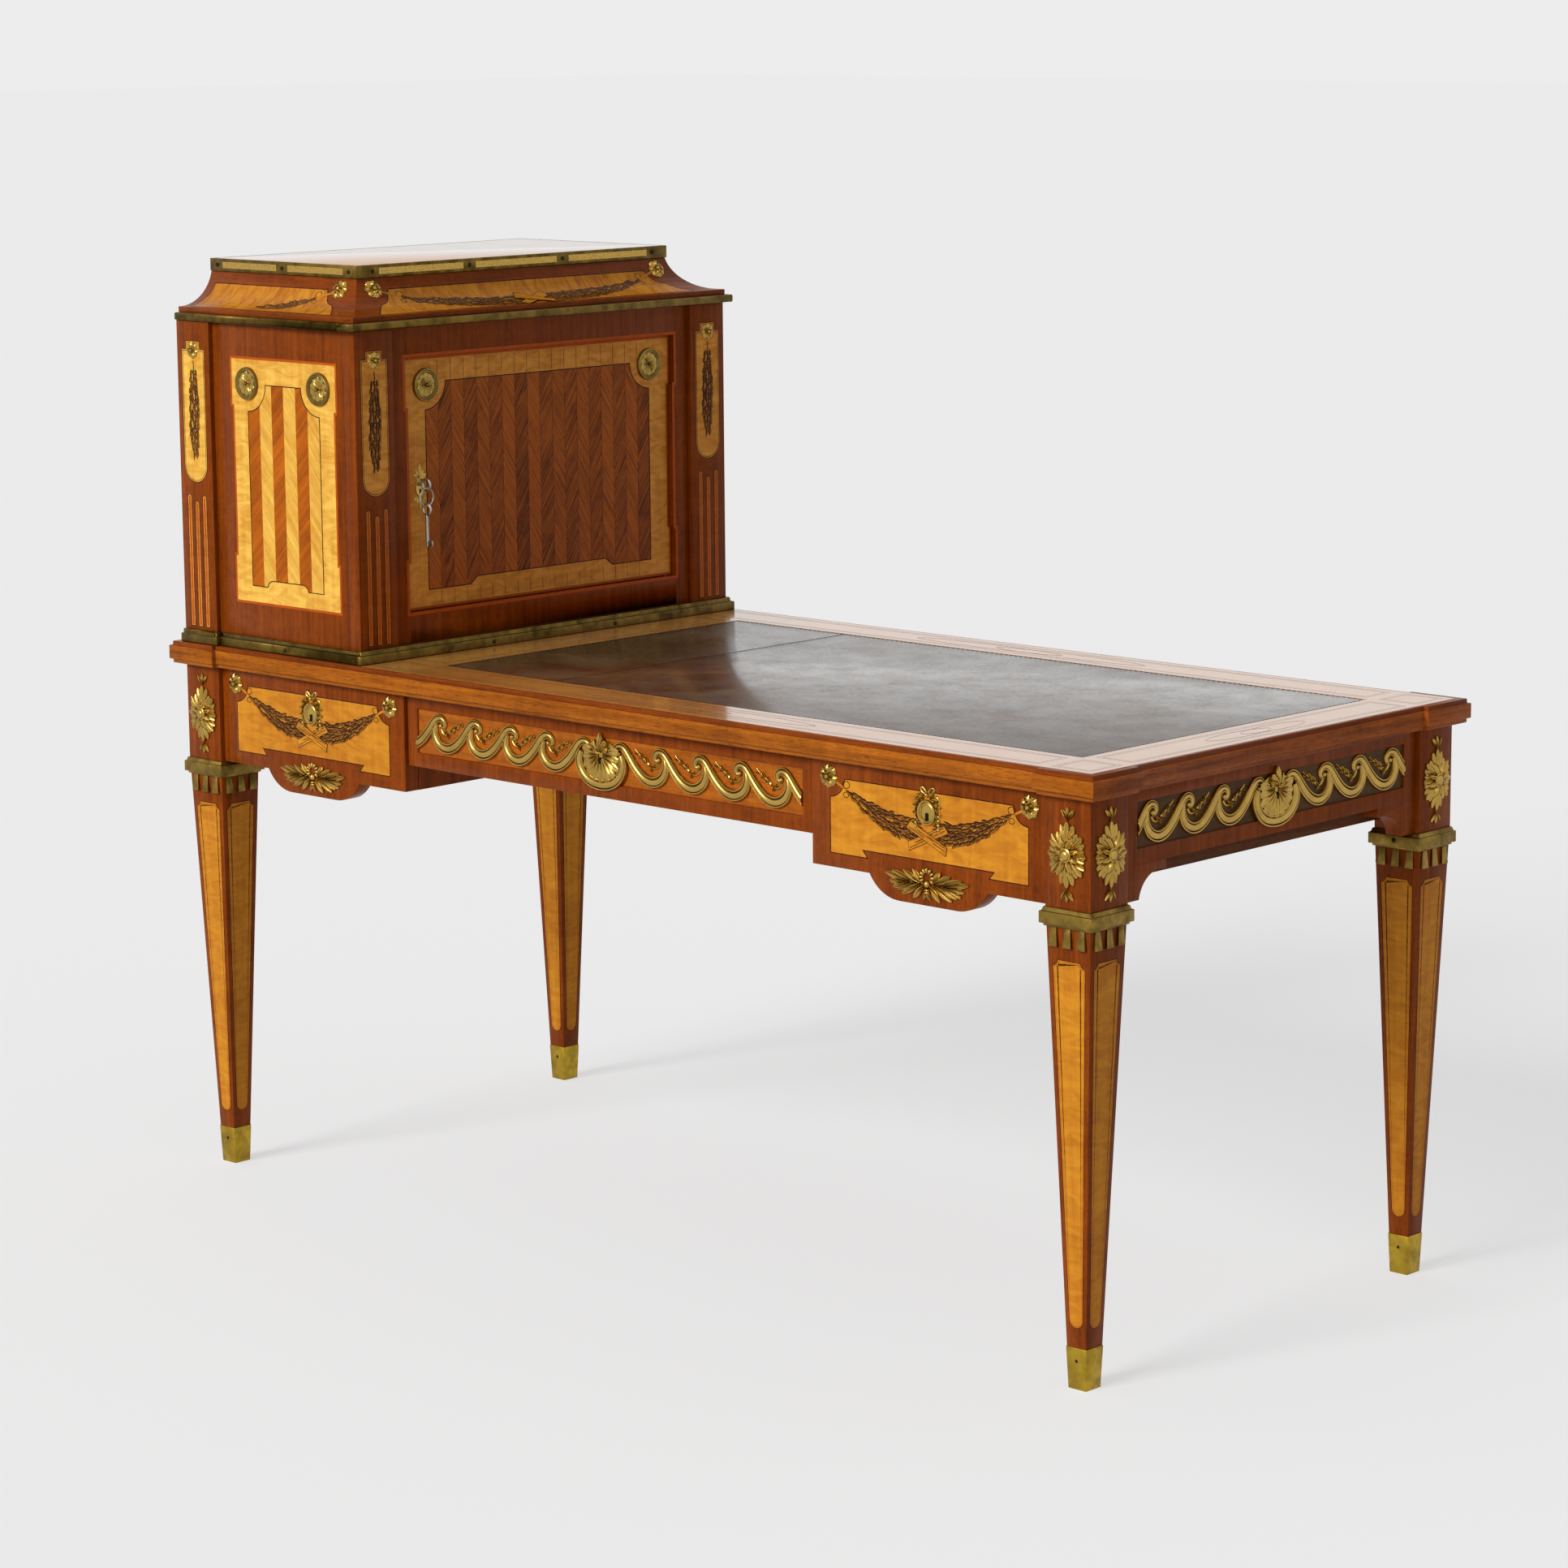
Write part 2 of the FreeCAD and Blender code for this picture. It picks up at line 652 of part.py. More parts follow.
def scroll_shape(start, radius, half_waves):
    """Half of a running scroll: half rings set above and below the middle line in turn."""
    half_band = scroll_band.value / 2
    rise = mount_rise.value
    rings = []
    for step in range(half_waves):
        centre = FreeCAD.Vector(start + radius * (2 * step + 1), 0, 0)
        ring = Part.makeCylinder(radius + half_band, rise, centre)
        ring = ring.cut(Part.makeCylinder(radius - half_band, rise, centre))
        reach = radius + half_band
        low = 0 if step % 2 == 0 else -reach
        half = Part.makeBox(2 * reach, reach, rise, centre + FreeCAD.Vector(-reach, low, 0))
        rings.append(ring.common(half))
    return rings[0].fuse(rings[1:]).removeSplitter()


def scroll(name, sunk, face, z, turn, panel_half, half_waves):
    """Two running scrolls in a sunk panel, either side of a shell that stands on the panel's margins.

    sunk and face are the (x, y) of the panel and of the wood around it. The waves fill the panel's length.
    """
    strips = []
    end_room = scroll_band / 2 + mount_gap
    start = shell_half_width + end_room
    radius = (panel_half - start - end_room) / (2 * half_waves)
    for side, flip in (("a", 0), ("b", 180)):
        strip = DOC.addObject("Part::Feature", "%s_%s" % (name, side))
        strip.Shape = scroll_shape(start.value, radius.value, half_waves)
        strips.append(place(strip, *sunk, z, turn * turned((0, 0, 1), flip)))
    shell = dome(name + "_shell", shell_half_width, shell_half_height, mount_rise, *face, z, turn)
    return strips + [shell]


CENTRE_HALF_WAVES = 9
END_HALF_WAVES = 6


def side_mounts(name, middle, face, turn, keyhole):
    """Mounts of a side section: two rosettes, the keyhole mount and the leaf spray."""
    level = front_head - rosette_drop
    key_level = front_head - keyhole_drop
    pieces = []
    for index, sign in enumerate((-1, 1)):
        pieces.append(dome("%s_rosette%d" % (name, index), rosette_radius, rosette_radius, mount_rise,
                           middle + (section_half - rosette_inset) * sign, face, level, turn))
    plate = dome(name + "_plate", plate_half_width, plate_half_height, mount_rise,
                 middle, face, key_level, turn)
    if keyhole:
        hole = rod(name + "_plate_hole", keyhole_radius, mount_rise, middle, face, key_level, turn)
        plate = cut(name + "_keyed", plate, hole)
    spray = dome(name + "_spray", spray_half_width, spray_half_height, mount_rise,
                 middle, face, side_foot, turn)
    return pieces + [plate, spray]


def make_fixed_mounts():
    """Mounts of the two ends and of the back, which are like those of the front."""
    level = (centre_foot + front_head + sunk_depth) / 2
    end_level = (block_foot + end_rise + frieze_top + sunk_depth) / 2
    to_right = turned((0, 0, 1), 90) * AGAINST_Y
    to_left = turned((0, 0, 1), -90) * AGAINST_Y
    fill = (end_panel, END_HALF_WAVES)
    ends = scroll("right_scroll", (end_x - sunk_depth, 0), (end_x, 0), end_level, to_right, *fill)
    ends += scroll("left_scroll", (sunk_depth - end_x, 0), (-end_x, 0), end_level, to_left, *fill)
    node("end_scroll_mounts", *ends)
    to_back = turned((0, 0, 1), 180) * AGAINST_Y
    centre_y = face_y - centre_set
    back = scroll("back_scroll", (0, centre_y - sunk_depth), (0, centre_y), level, to_back,
                  centre_panel, CENTRE_HALF_WAVES)
    for name, sign in (("back_left", -1), ("back_right", 1)):
        back += side_mounts(name, section_mid * sign, face_y, to_back, False)
    node("back_mounts", *back)


def drawer_box(name, x_span, foot, back):
    """Drawer sides, back and bottom between two planes; the front's back is at y = -back."""
    head = front_head - drawer_top_drop
    low, high = x_span
    near, far = -back, drawer_depth - back
    floor = foot + bottom_rise
    within = (low + box_thick, high - box_thick)
    node(name + "_drawer_box",
         box(name + "_side_a", (low, low + box_thick), (near, far), (foot, head)),
         box(name + "_side_b", (high - box_thick, high), (near, far), (foot, head)),
         box(name + "_box_back", within, (far - box_thick, far), (floor + bottom_thick, head)),
         box(name + "_bottom", within, (near, far), (floor, floor + bottom_thick)))


def drawer_lock(name, middle, back):
    """Lock case behind a drawer front and the bolt that rises out of it."""
    slot_x = about(middle, bolt_width + 2 * bolt_gap)
    low, high = bolt_span(back)
    case = box(name + "_case", about(middle, lock_width), (-back, lock_depth - back),
               (front_head - lock_height, front_head))
    bolt_foot = front_head - bolt_length - bolt_gap
    slot = box(name + "_slot", slot_x, (low - bolt_gap, high + bolt_gap), (bolt_foot - bolt_gap, front_head))
    node(name + "_drawer_lock", cut(name + "_lock", case, slot))
    node(name + "_drawer_bolt", box(name + "_bolt", about(middle, bolt_width), (low, high),
                                    (bolt_foot, bolt_foot + bolt_length)))


def make_drawers():
    """Two side drawers with a tongue and a middle drawer with a sunk panel."""
    for name, middle, back in lock_places():
        if name == "centre":
            front = centre_board("centre_front", back)
            span = both(knee_half - guide_gap)
            foot = centre_foot + runner_height + seat_gap
            level = (centre_foot + front_head + sunk_depth) / 2
            face = -back - board_thick
            mounts = scroll("front_scroll", (0, face + sunk_depth), (0, face), level, AGAINST_Y,
                            centre_panel, CENTRE_HALF_WAVES)
        else:
            sign = -1 if name == "left" else 1
            board = padded(name + "_front", "XZ", side_outline(middle), board_thick, 0, -back)
            key_level = front_head - keyhole_drop
            hole = rod(name + "_keyhole", keyhole_radius, board_thick, middle, -back, key_level, AGAINST_Y)
            front = cut(name + "_keyed_front", board, hole)
            span = on_side(sign, knee_half + panel_thick + guide_gap, block_in_x - guide_gap)
            foot = runner_foot + runner_height + seat_gap
            mounts = side_mounts(name, middle, -face_y, AGAINST_Y, True)
        node(name + "_drawer_front", front)
        drawer_box(name, span, foot, back)
        drawer_lock(name, middle, back)
        node(name + "_drawer_mounts", *mounts)


def make_cabinet_case():
    """Floor, sides, back, posts, pilasters, ceiling and shelf of the cabinet."""
    level = (top_height, cabinet_top_z)
    floor_head = top_height + base_height
    inner_back = cabinet_back_x + back_thick
    inner_half = cabinet_half - panel_thick
    post_front = cabinet_back_x + block_size
    post_half = frame_y - post_thick
    pilaster_back = cabinet_front_x - pilaster_thick
    sides, posts, pilasters, battens = [], [], [], []
    shelf_foot = top_height + shelf_level
    shelf_front = frame_back_x - shelf_set
    for name, sign in (("front", -1), ("back", 1)):
        wall = on_side(sign, inner_half, cabinet_half)
        sides.append(box(name + "_side", (post_front, pilaster_back), wall, level))
        depth = on_side(sign, post_half, frame_y)
        posts.append(box(name + "_post", (cabinet_back_x, post_front), depth, level))
        width = on_side(sign, frame_half, cabinet_half)
        pilasters.append(box(name + "_pilaster", (pilaster_back, cabinet_front_x), width, level))
        ledge = on_side(sign, inner_half - batten_size, inner_half)
        battens.append(box(name + "_batten", (post_front, shelf_front), ledge,
                           (shelf_foot - batten_size, shelf_foot)))
    node("cabinet_sides", *sides)
    node("cabinet_rear_posts", *posts)
    node("cabinet_pilasters", *pilasters)
    node("shelf_battens", *battens)
    node("cabinet_back", box("back_panel", (cabinet_back_x, inner_back), both(post_half), level))
    floor = box("floor_panel", (inner_back, pilaster_back), both(inner_half), (top_height, floor_head))
    lip = box("floor_lip", (pilaster_back, frame_face_x), both(frame_half), (top_height, floor_head))
    node("cabinet_floor", fuse("floor_whole", [floor, lip]))
    node("cabinet_ceiling", box("ceiling_panel", (inner_back, frame_back_x), both(inner_half),
                                (cabinet_top_z - panel_thick, cabinet_top_z)))
    shelf = box("shelf", (inner_back, shelf_front), both(inner_half), (shelf_foot, shelf_foot + shelf_thick))
    node("cabinet_shelf", shelf)


def key_place():
    """Axis of the door key: (y, z)."""
    return keyhole_backset - opening_half, top_height + keyhole_level


def make_door_frame():
    """Two stiles and two rails with an eared opening, sockets for the pivots and a mortise for the bolt."""
    frame_foot = top_height + base_height
    head_ear = opening_head - ear_height
    foot_ear = opening_foot + ear_height
    wide = opening_half + ear_reach
    stile = [(frame_half, frame_foot), (frame_half, cabinet_top_z), (wide, cabinet_top_z), (wide, head_ear),
             (opening_half, head_ear), (opening_half, foot_ear), (wide, foot_ear), (wide, frame_foot)]
    back_stile = padded("back_stile", "YZ", stile, frame_thick, frame_back_x)
    front_stile = mirror_y("front_stile", back_stile)
    key_z = key_place()[1]
    low, high = door_bolt_span()
    reach = opening_half + bolt_throw + mortise_gap
    mortise = box("bolt_mortise", (low - mortise_gap, high + mortise_gap), (-reach, -opening_half),
                  about(key_z, bolt_width + 2 * mortise_gap))
    pivot_x, pivot_y = pivot_place()
    bore = pivot_radius + pivot_fit
    depth = pivot_reach + pivot_fit
    rails = []
    for name, z_span, start in (("foot_rail", (frame_foot, opening_foot), opening_foot - depth),
                                ("head_rail", (opening_head, cabinet_top_z), opening_head)):
        rail = box(name, (frame_back_x, frame_face_x), both(wide), z_span)
        socket = rod(name + "_socket", bore, depth, pivot_x, pivot_y, start)
        rails.append(cut(name + "_bored", rail, socket))
    node("door_frame", back_stile, cut("front_stile_mortised", front_stile, mortise), *rails)


def pivot_place():
    """Axis of the door's pivots: (x, y)."""
    return door_face_x - pivot_depth, opening_half - pivot_inset


def door_bolt_span():
    """Depth span of the door bolt, in the middle of the lock."""
    return about(door_back_x + door_lock_depth / 2, bolt_thick)


def make_door():
    """The eared door panel with its lock, keyhole plate, medallions and pivot pins."""
    half = opening_half - door_gap
    wide = half + ear_reach
    foot, head = opening_foot + door_gap, opening_head - door_gap
    head_ear = opening_head - ear_height + door_gap
    foot_ear = opening_foot + ear_height - door_gap
    edge = [(wide, foot), (wide, foot_ear), (half, foot_ear),
            (half, head_ear), (wide, head_ear), (wide, head)]
    edge += [(-u, v) for u, v in reversed(edge)]
    panel = padded("door_board", "YZ", edge, door_thick, door_back_x)
    key_y, key_z = key_place()
    lock_x = (door_back_x, door_back_x + door_lock_depth)
    lock_y = (-half, door_lock_width - half)
    recess = box("lock_recess", lock_x, (-half, lock_y[1] + lock_seat),
                 about(key_z, door_lock_height + 2 * lock_seat))
    keyhole = rod("door_keyhole", keyhole_radius, door_thick, door_back_x, key_y, key_z, ALONG_X)
    pivot_x, pivot_y = pivot_place()
    pins, sockets = [], []
    for name, start, grip in (("foot", foot - pivot_reach, foot),
                              ("head", head - pivot_grip, head - pivot_grip)):
        pins.append(rod(name + "_pivot", pivot_radius, pivot_reach + pivot_grip, pivot_x, pivot_y, start))
        sockets.append(rod(name + "_grip", pivot_radius, pivot_grip, pivot_x, pivot_y, grip))
    node("door_panel", cut("door", panel, recess, keyhole, *sockets))
    node("door_pivots", *pins)
    make_door_lock(lock_x, lock_y, key_y, key_z)
    plate = box("door_plate", (door_face_x, door_face_x + plate_thick), about(key_y, plate_width),
                about(key_z, plate_height))
    plate_hole = rod("door_plate_hole", keyhole_radius, plate_thick, door_face_x, key_y, key_z, ALONG_X)
    node("door_escutcheon", cut("door_plate_bored", plate, plate_hole))
    level = top_height + medallion_level
    facing = turned((0, 0, 1), 90) * AGAINST_Y
    medallions = []
    for index, sign in enumerate((-1, 1)):
        medallions.append(dome("door_medallion%d" % index, medallion_radius, medallion_radius, medallion_rise,
                               door_face_x, (opening_half - door_medallion_inset) * sign, level, facing))
    node("door_medallions", *medallions)


def make_door_lock(lock_x, lock_y, key_y, key_z):
    """Door lock with a chamber for the turning bit, and the bolt that slides out of its edge."""
    low, high = door_bolt_span()
    case = box("door_case", lock_x, (lock_y[0] + lock_seat, lock_y[1]), about(key_z, door_lock_height))
    room = key_radius + key_bit + key_turn_gap
    inside = lock_x[0] + lock_wall
    chamber = rod("bit_chamber", room, door_lock_depth - 2 * lock_wall, inside, key_y, key_z, ALONG_X)
    throat = rod("case_keyhole", keyhole_radius, door_lock_depth - lock_wall, inside, key_y, key_z, ALONG_X)
    tail = key_y - room
    slot = box("door_slot", (low - bolt_gap, high + bolt_gap), (lock_y[0], tail),
               about(key_z, bolt_width + 2 * bolt_gap))
    node("door_lock", cut("door_lock_case", case, chamber, throat, slot))
    bar = box("door_bolt_bar", (low, high), (lock_y[0] + 2 * lock_seat, tail), about(key_z, bolt_width))
    node("door_bolt", bar)


def make_keys():
    """The key in the door, the ring on its bow and the second key that hangs from the ring."""
    key_y, key_z = key_place()
    tip = door_back_x + lock_wall + key_turn_gap
    bow_x = door_face_x + key_stand + bow_radius
    stem = rod("key_stem", key_radius, bow_x - bow_radius - tip, tip, key_y, key_z, ALONG_X)
    bit_x = (tip, tip + door_lock_depth - 2 * lock_wall - 2 * key_turn_gap)
    bit = box("key_flag", bit_x, about(key_y, key_bit_thick), (key_z - key_radius - key_bit, key_z))
    bow = hoop("key_bow", bow_radius, bow_wire, bow_x, key_y, key_z, AGAINST_Y)
    node("door_key", fuse("key_whole", [stem, bit, bow]))
    ring_z = key_z - bow_radius + bow_wire + ring_gap + ring_wire - ring_radius
    node("key_ring", hoop("ring", ring_radius, ring_wire, bow_x, key_y, ring_z, ALONG_X))
    spare_z = ring_z - ring_radius + ring_wire + ring_gap + bow_wire - bow_radius
    spare_bow = hoop("spare_bow", bow_radius, bow_wire, bow_x, key_y, spare_z, AGAINST_Y)
    stem_foot = spare_z - bow_radius - spare_length
    spare_stem = rod("spare_stem", key_radius, spare_length, bow_x, key_y, stem_foot)
    spare_flag = box("spare_flag", (bow_x, bow_x + key_radius + key_bit), about(key_y, key_bit_thick),
                     (stem_foot, stem_foot + key_bit))
    node("spare_key", fuse("spare_whole", [spare_bow, spare_stem, spare_flag]))


def base_strip(name, x_span, y_span, bead_x, bead_y):
    """One length of the base moulding: a wide lower member and a narrower bead."""
    middle = top_height + base_height - base_bead
    return fuse(name, [box(name + "_lower", x_span, y_span, (top_height, middle)),
                       box(name + "_bead", bead_x, bead_y, (middle, top_height + base_height))])


def make_cabinet_brass():
    """Base moulding and cornice."""
    front, bead = cabinet_front_x + base_reach, cabinet_front_x + base_bead_reach
    post_front = cabinet_back_x + block_size
    pieces = [base_strip("front_base", (cabinet_front_x, front), both(cabinet_half + base_reach),
                         (cabinet_front_x, bead), both(cabinet_half + base_bead_reach))]
    cornice_front = cabinet_front_x + break_step + cornice_reach
    cornice_half = frame_y + cornice_reach
    level = (cabinet_top_z, cabinet_top_z + cornice_height)
    cornice = [box("front_cornice", (cornice_front - cornice_bed, cornice_front), both(cornice_half), level)]
    for name, sign in (("front", -1), ("back", 1)):
        run = (post_front + base_reach, cabinet_front_x)
        pieces.append(base_strip(name + "_side_base",
                                 run, on_side(sign, cabinet_half, cabinet_half + base_reach),
                                 run, on_side(sign, cabinet_half, cabinet_half + base_bead_reach)))
        run = (cabinet_back_x, post_front)
        pieces.append(base_strip(name + "_post_base",
                                 run, on_side(sign, frame_y, frame_y + base_reach),
                                 run, on_side(sign, frame_y, frame_y + base_bead_reach)))
        pieces.append(base_strip(name + "_return_base", (post_front, post_front + base_reach),
                                 on_side(sign, cabinet_half, frame_y + base_reach),
                                 (post_front, post_front + base_bead_reach),
                                 on_side(sign, cabinet_half, frame_y + base_bead_reach)))
        cornice.append(box(name + "_side_cornice", (cabinet_back_x, cornice_front - cornice_bed),
                           on_side(sign, cornice_half - cornice_bed, cornice_half), level))
    node("base_moulding", *pieces)
    node("cornice_moulding", *cornice)


def make_hood():
    """The hollow coved hood, the panel on top of it and the brass rim round that panel."""
    shoulder = hood_half - cove_reach
    side = [(-hood_half, hood_foot), (hood_half, hood_foot), (hood_half, cove_foot, -cove_radius),
            (shoulder, hood_head), (-shoulder, hood_head, -cove_radius), (-hood_half, cove_foot)]
    along = padded("hood_along", "YZ", side, hood_front_x - cabinet_back_x, cabinet_back_x)
    front = [(cabinet_back_x, hood_foot), (hood_front_x, hood_foot), (hood_front_x, cove_foot, -cove_radius),
             (hood_front_x - cove_reach, hood_head), (cabinet_back_x, hood_head)]
    across = padded("hood_across", "XZ", front, 2 * hood_half, 0, hood_half)
    whole = bind(DOC.addObject("Part::MultiCommon", "hood_whole"), Shapes=[along, across])
    hollow = box("hood_hollow", (cabinet_back_x + hood_wall, hood_front_x - cove_reach - hood_wall),
                 both(shoulder - hood_wall), (hood_foot, hood_head - hood_wall))
    node("cove_hood", cut("hood", whole, hollow))
    level = (hood_head, rim_head)
    inner_x = (cabinet_back_x + rim_thick, rim_front_x - rim_thick)
    outer = box("rim_outer", (cabinet_back_x, rim_front_x), both(rim_half), level)
    inner = box("rim_inner", inner_x, both(rim_half - rim_thick), level)
    node("top_rim", cut("rim", outer, inner))
    node("cabinet_top", box("top_panel", inner_x, both(rim_half - rim_thick), level))


FRONT_RIM_SCREWS = 4
SIDE_RIM_SCREWS = 3
SCREW_SPREAD = 0.45


def make_screws():
    """Screw heads in the base moulding and in the brass rim."""
    screws = []
    facing = turned((0, 0, 1), 90) * AGAINST_Y
    base_level = top_height + (base_height - base_bead) / 2
    rim_level = (hood_head + rim_head) / 2
    for index in range(FRONT_RIM_SCREWS):
        y = rim_half * 2 * SCREW_SPREAD * (2 * index / (FRONT_RIM_SCREWS - 1) - 1)
        screws.append(rod("rim_screw_front%d" % index, screw_radius, screw_rise,
                          rim_front_x, y, rim_level, facing))
    for index, sign in enumerate((-1, 1)):
        screws.append(rod("base_screw_front%d" % index, screw_radius, screw_rise,
                          cabinet_front_x + base_reach, (cabinet_half / 3) * sign, base_level, facing))
        turn = ALONG_Y if sign > 0 else AGAINST_Y
        rim_middle = (cabinet_back_x + rim_front_x) / 2
        rim_length = rim_front_x - cabinet_back_x
        for step in range(SIDE_RIM_SCREWS):
            x = rim_middle + rim_length * SCREW_SPREAD * (2 * step / (SIDE_RIM_SCREWS - 1) - 1)
            screws.append(rod("rim_screw_side%d_%d" % (index, step), screw_radius, screw_rise,
                              x, rim_half * sign, rim_level, turn))
        side_middle = (cabinet_back_x + block_size + cabinet_front_x) / 2
        screws.append(rod("base_screw_side%d" % index, screw_radius, screw_rise, side_middle,
                          (cabinet_half + base_reach) * sign, base_level, turn))
    node("brass_screws", *screws)


def make_cabinet_mounts():
    """Medallions of the sides and the small rosettes of the pilasters and posts."""
    facing = turned((0, 0, 1), 90) * AGAINST_Y
    middle = (cabinet_back_x + block_size + cabinet_front_x) / 2
    level = top_height + medallion_level
    rosette_level = cabinet_top_z - pilaster_rosette_drop
    medallions, rosettes = [], []
    for index, sign in enumerate((-1, 1)):
        turn = ALONG_Y if sign > 0 else AGAINST_Y
        for step in (-1, 1):
            x = middle + side_medallion_offset * step
            medallions.append(dome("side_medallion%d_%d" % (index, step + 1), medallion_radius,
                                   medallion_radius, medallion_rise, x, cabinet_half * sign, level, turn))
        rosettes.append(dome("post_rosette%d" % index, small_rosette, small_rosette, small_rise,
                             cabinet_back_x + block_size / 2, frame_y * sign, rosette_level, turn))
        rosettes.append(dome("pilaster_rosette%d" % index, small_rosette, small_rosette, small_rise,
                             cabinet_front_x, (cabinet_half - block_size / 2) * sign, rosette_level, facing))
    node("side_medallions", *medallions)
    node("pilaster_rosettes", *rosettes)


def check_and_write():
    """Recompute, stop on anything that failed, and write one file per sub-part."""
    DOC.recompute()
    failed = [item.Name for item in DOC.Objects if {"Invalid", "Error"} & set(item.State)]
    for item in NODES:
        if item.Shape.isNull() or not item.Shape.isValid() or not item.Shape.Solids:
            failed.append(item.Label)
    if failed:
        raise RuntimeError("failed: " + ", ".join(failed))
    os.makedirs("parts", exist_ok=True)
    for item in NODES:
        item.Shape.exportStep("parts/%s.step" % item.Label)
    print("%d sub-parts, %d solids" % (len(NODES), sum(len(item.Shape.Solids) for item in NODES)))


make_legs()
leaf_mounts()
make_top()
make_ends()
make_carcass()
make_fixed_mounts()
make_drawers()
make_cabinet_case()
make_door_frame()
make_door()
make_keys()
make_cabinet_brass()
make_hood()
make_screws()
make_cabinet_mounts()
check_and_write()
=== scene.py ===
"""Looks of a writing desk with an end cabinet: inlaid wood, leather, old brass and gilt mounts."""

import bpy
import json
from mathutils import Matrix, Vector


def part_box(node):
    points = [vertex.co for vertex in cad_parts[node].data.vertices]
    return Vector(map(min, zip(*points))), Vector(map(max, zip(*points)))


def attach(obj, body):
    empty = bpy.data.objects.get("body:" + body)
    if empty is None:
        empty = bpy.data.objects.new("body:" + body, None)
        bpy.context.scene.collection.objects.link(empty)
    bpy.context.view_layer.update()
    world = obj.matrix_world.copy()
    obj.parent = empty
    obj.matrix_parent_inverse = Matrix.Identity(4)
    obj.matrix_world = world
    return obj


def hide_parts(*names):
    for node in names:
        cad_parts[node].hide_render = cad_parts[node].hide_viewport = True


bl_info = {
    "name": "Writing desk with end cabinet",
    "version": (1, 0, 0),
    "blender": (4, 5, 0),
    "location": "View3D > Sidebar > Desk",
    "description": "Dresses the desk's frame with inlaid veneers, leather, brass and gilt mounts",
    "category": "Object",
}

import json
import math
import random

import bmesh
import bpy
from bpy.props import FloatProperty, FloatVectorProperty, IntProperty, PointerProperty
from mathutils import Matrix, Vector

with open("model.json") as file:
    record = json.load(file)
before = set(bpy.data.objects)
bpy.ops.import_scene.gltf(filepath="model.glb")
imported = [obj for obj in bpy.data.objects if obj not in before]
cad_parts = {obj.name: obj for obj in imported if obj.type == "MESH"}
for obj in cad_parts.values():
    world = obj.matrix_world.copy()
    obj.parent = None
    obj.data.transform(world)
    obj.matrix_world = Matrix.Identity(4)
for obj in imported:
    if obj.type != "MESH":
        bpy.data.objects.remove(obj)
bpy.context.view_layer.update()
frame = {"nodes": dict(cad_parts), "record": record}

FULL_TURN = 2 * math.pi
ARC_STEP = math.radians(10)
SOFT_ANGLE = math.radians(32)
CAST_ANGLE = math.radians(50)
ALONG_X = (0.0, 0.0, 0.0)
ALONG_Y = (0.0, 0.0, math.pi / 2)
ALONG_Z = (0.0, -math.pi / 2, 0.0)
WHITE = (1.0, 1.0, 1.0, 1.0)

# Metres: points this close are one; foot of a casting below its bed; step between crossing inlays.
MERGE = 1e-6
BED = -0.0004
LIFT = 0.0001

# Metres: the sunk panels of the frieze, and the play round what lies in a sunk place.
SUNK_MARGIN = 0.02
SUNK_DEPTH = 0.003
PLAY = 0.0006

# Metres: the sunk panels of the ends, above the collars, below the drawers' heads and from the legs.
END_FOOT = 0.064
END_HEAD = 0.015
END_SIDE = 0.026

DRAWERS = ("left", "centre", "right")
FLANKS = (("front", -1), ("back", 1))
CORNERS = (("leg_front_left", -1, -1), ("leg_front_right", 1, -1), ("leg_back_left", -1, 1),
           ("leg_back_right", 1, 1))


def srgb(red, green, blue):
    """A colour given by display values from 0 to 255, as linear numbers with alpha."""
    def linear(value):
        share = value / 255
        return share / 12.92 if share <= 0.04045 else ((share + 0.055) / 1.055) ** 2.4

    return (linear(red), linear(green), linear(blue), 1.0)


def length(name, default, text):
    """A size in metres that a user may change."""
    return FloatProperty(name=name, description=text, default=default, unit="LENGTH")


def colour(name, default, text):
    """A colour that a user may change, given by its display values."""
    return FloatVectorProperty(name=name, description=text, default=srgb(*default), subtype="COLOR", size=4,
                               min=0, max=1)


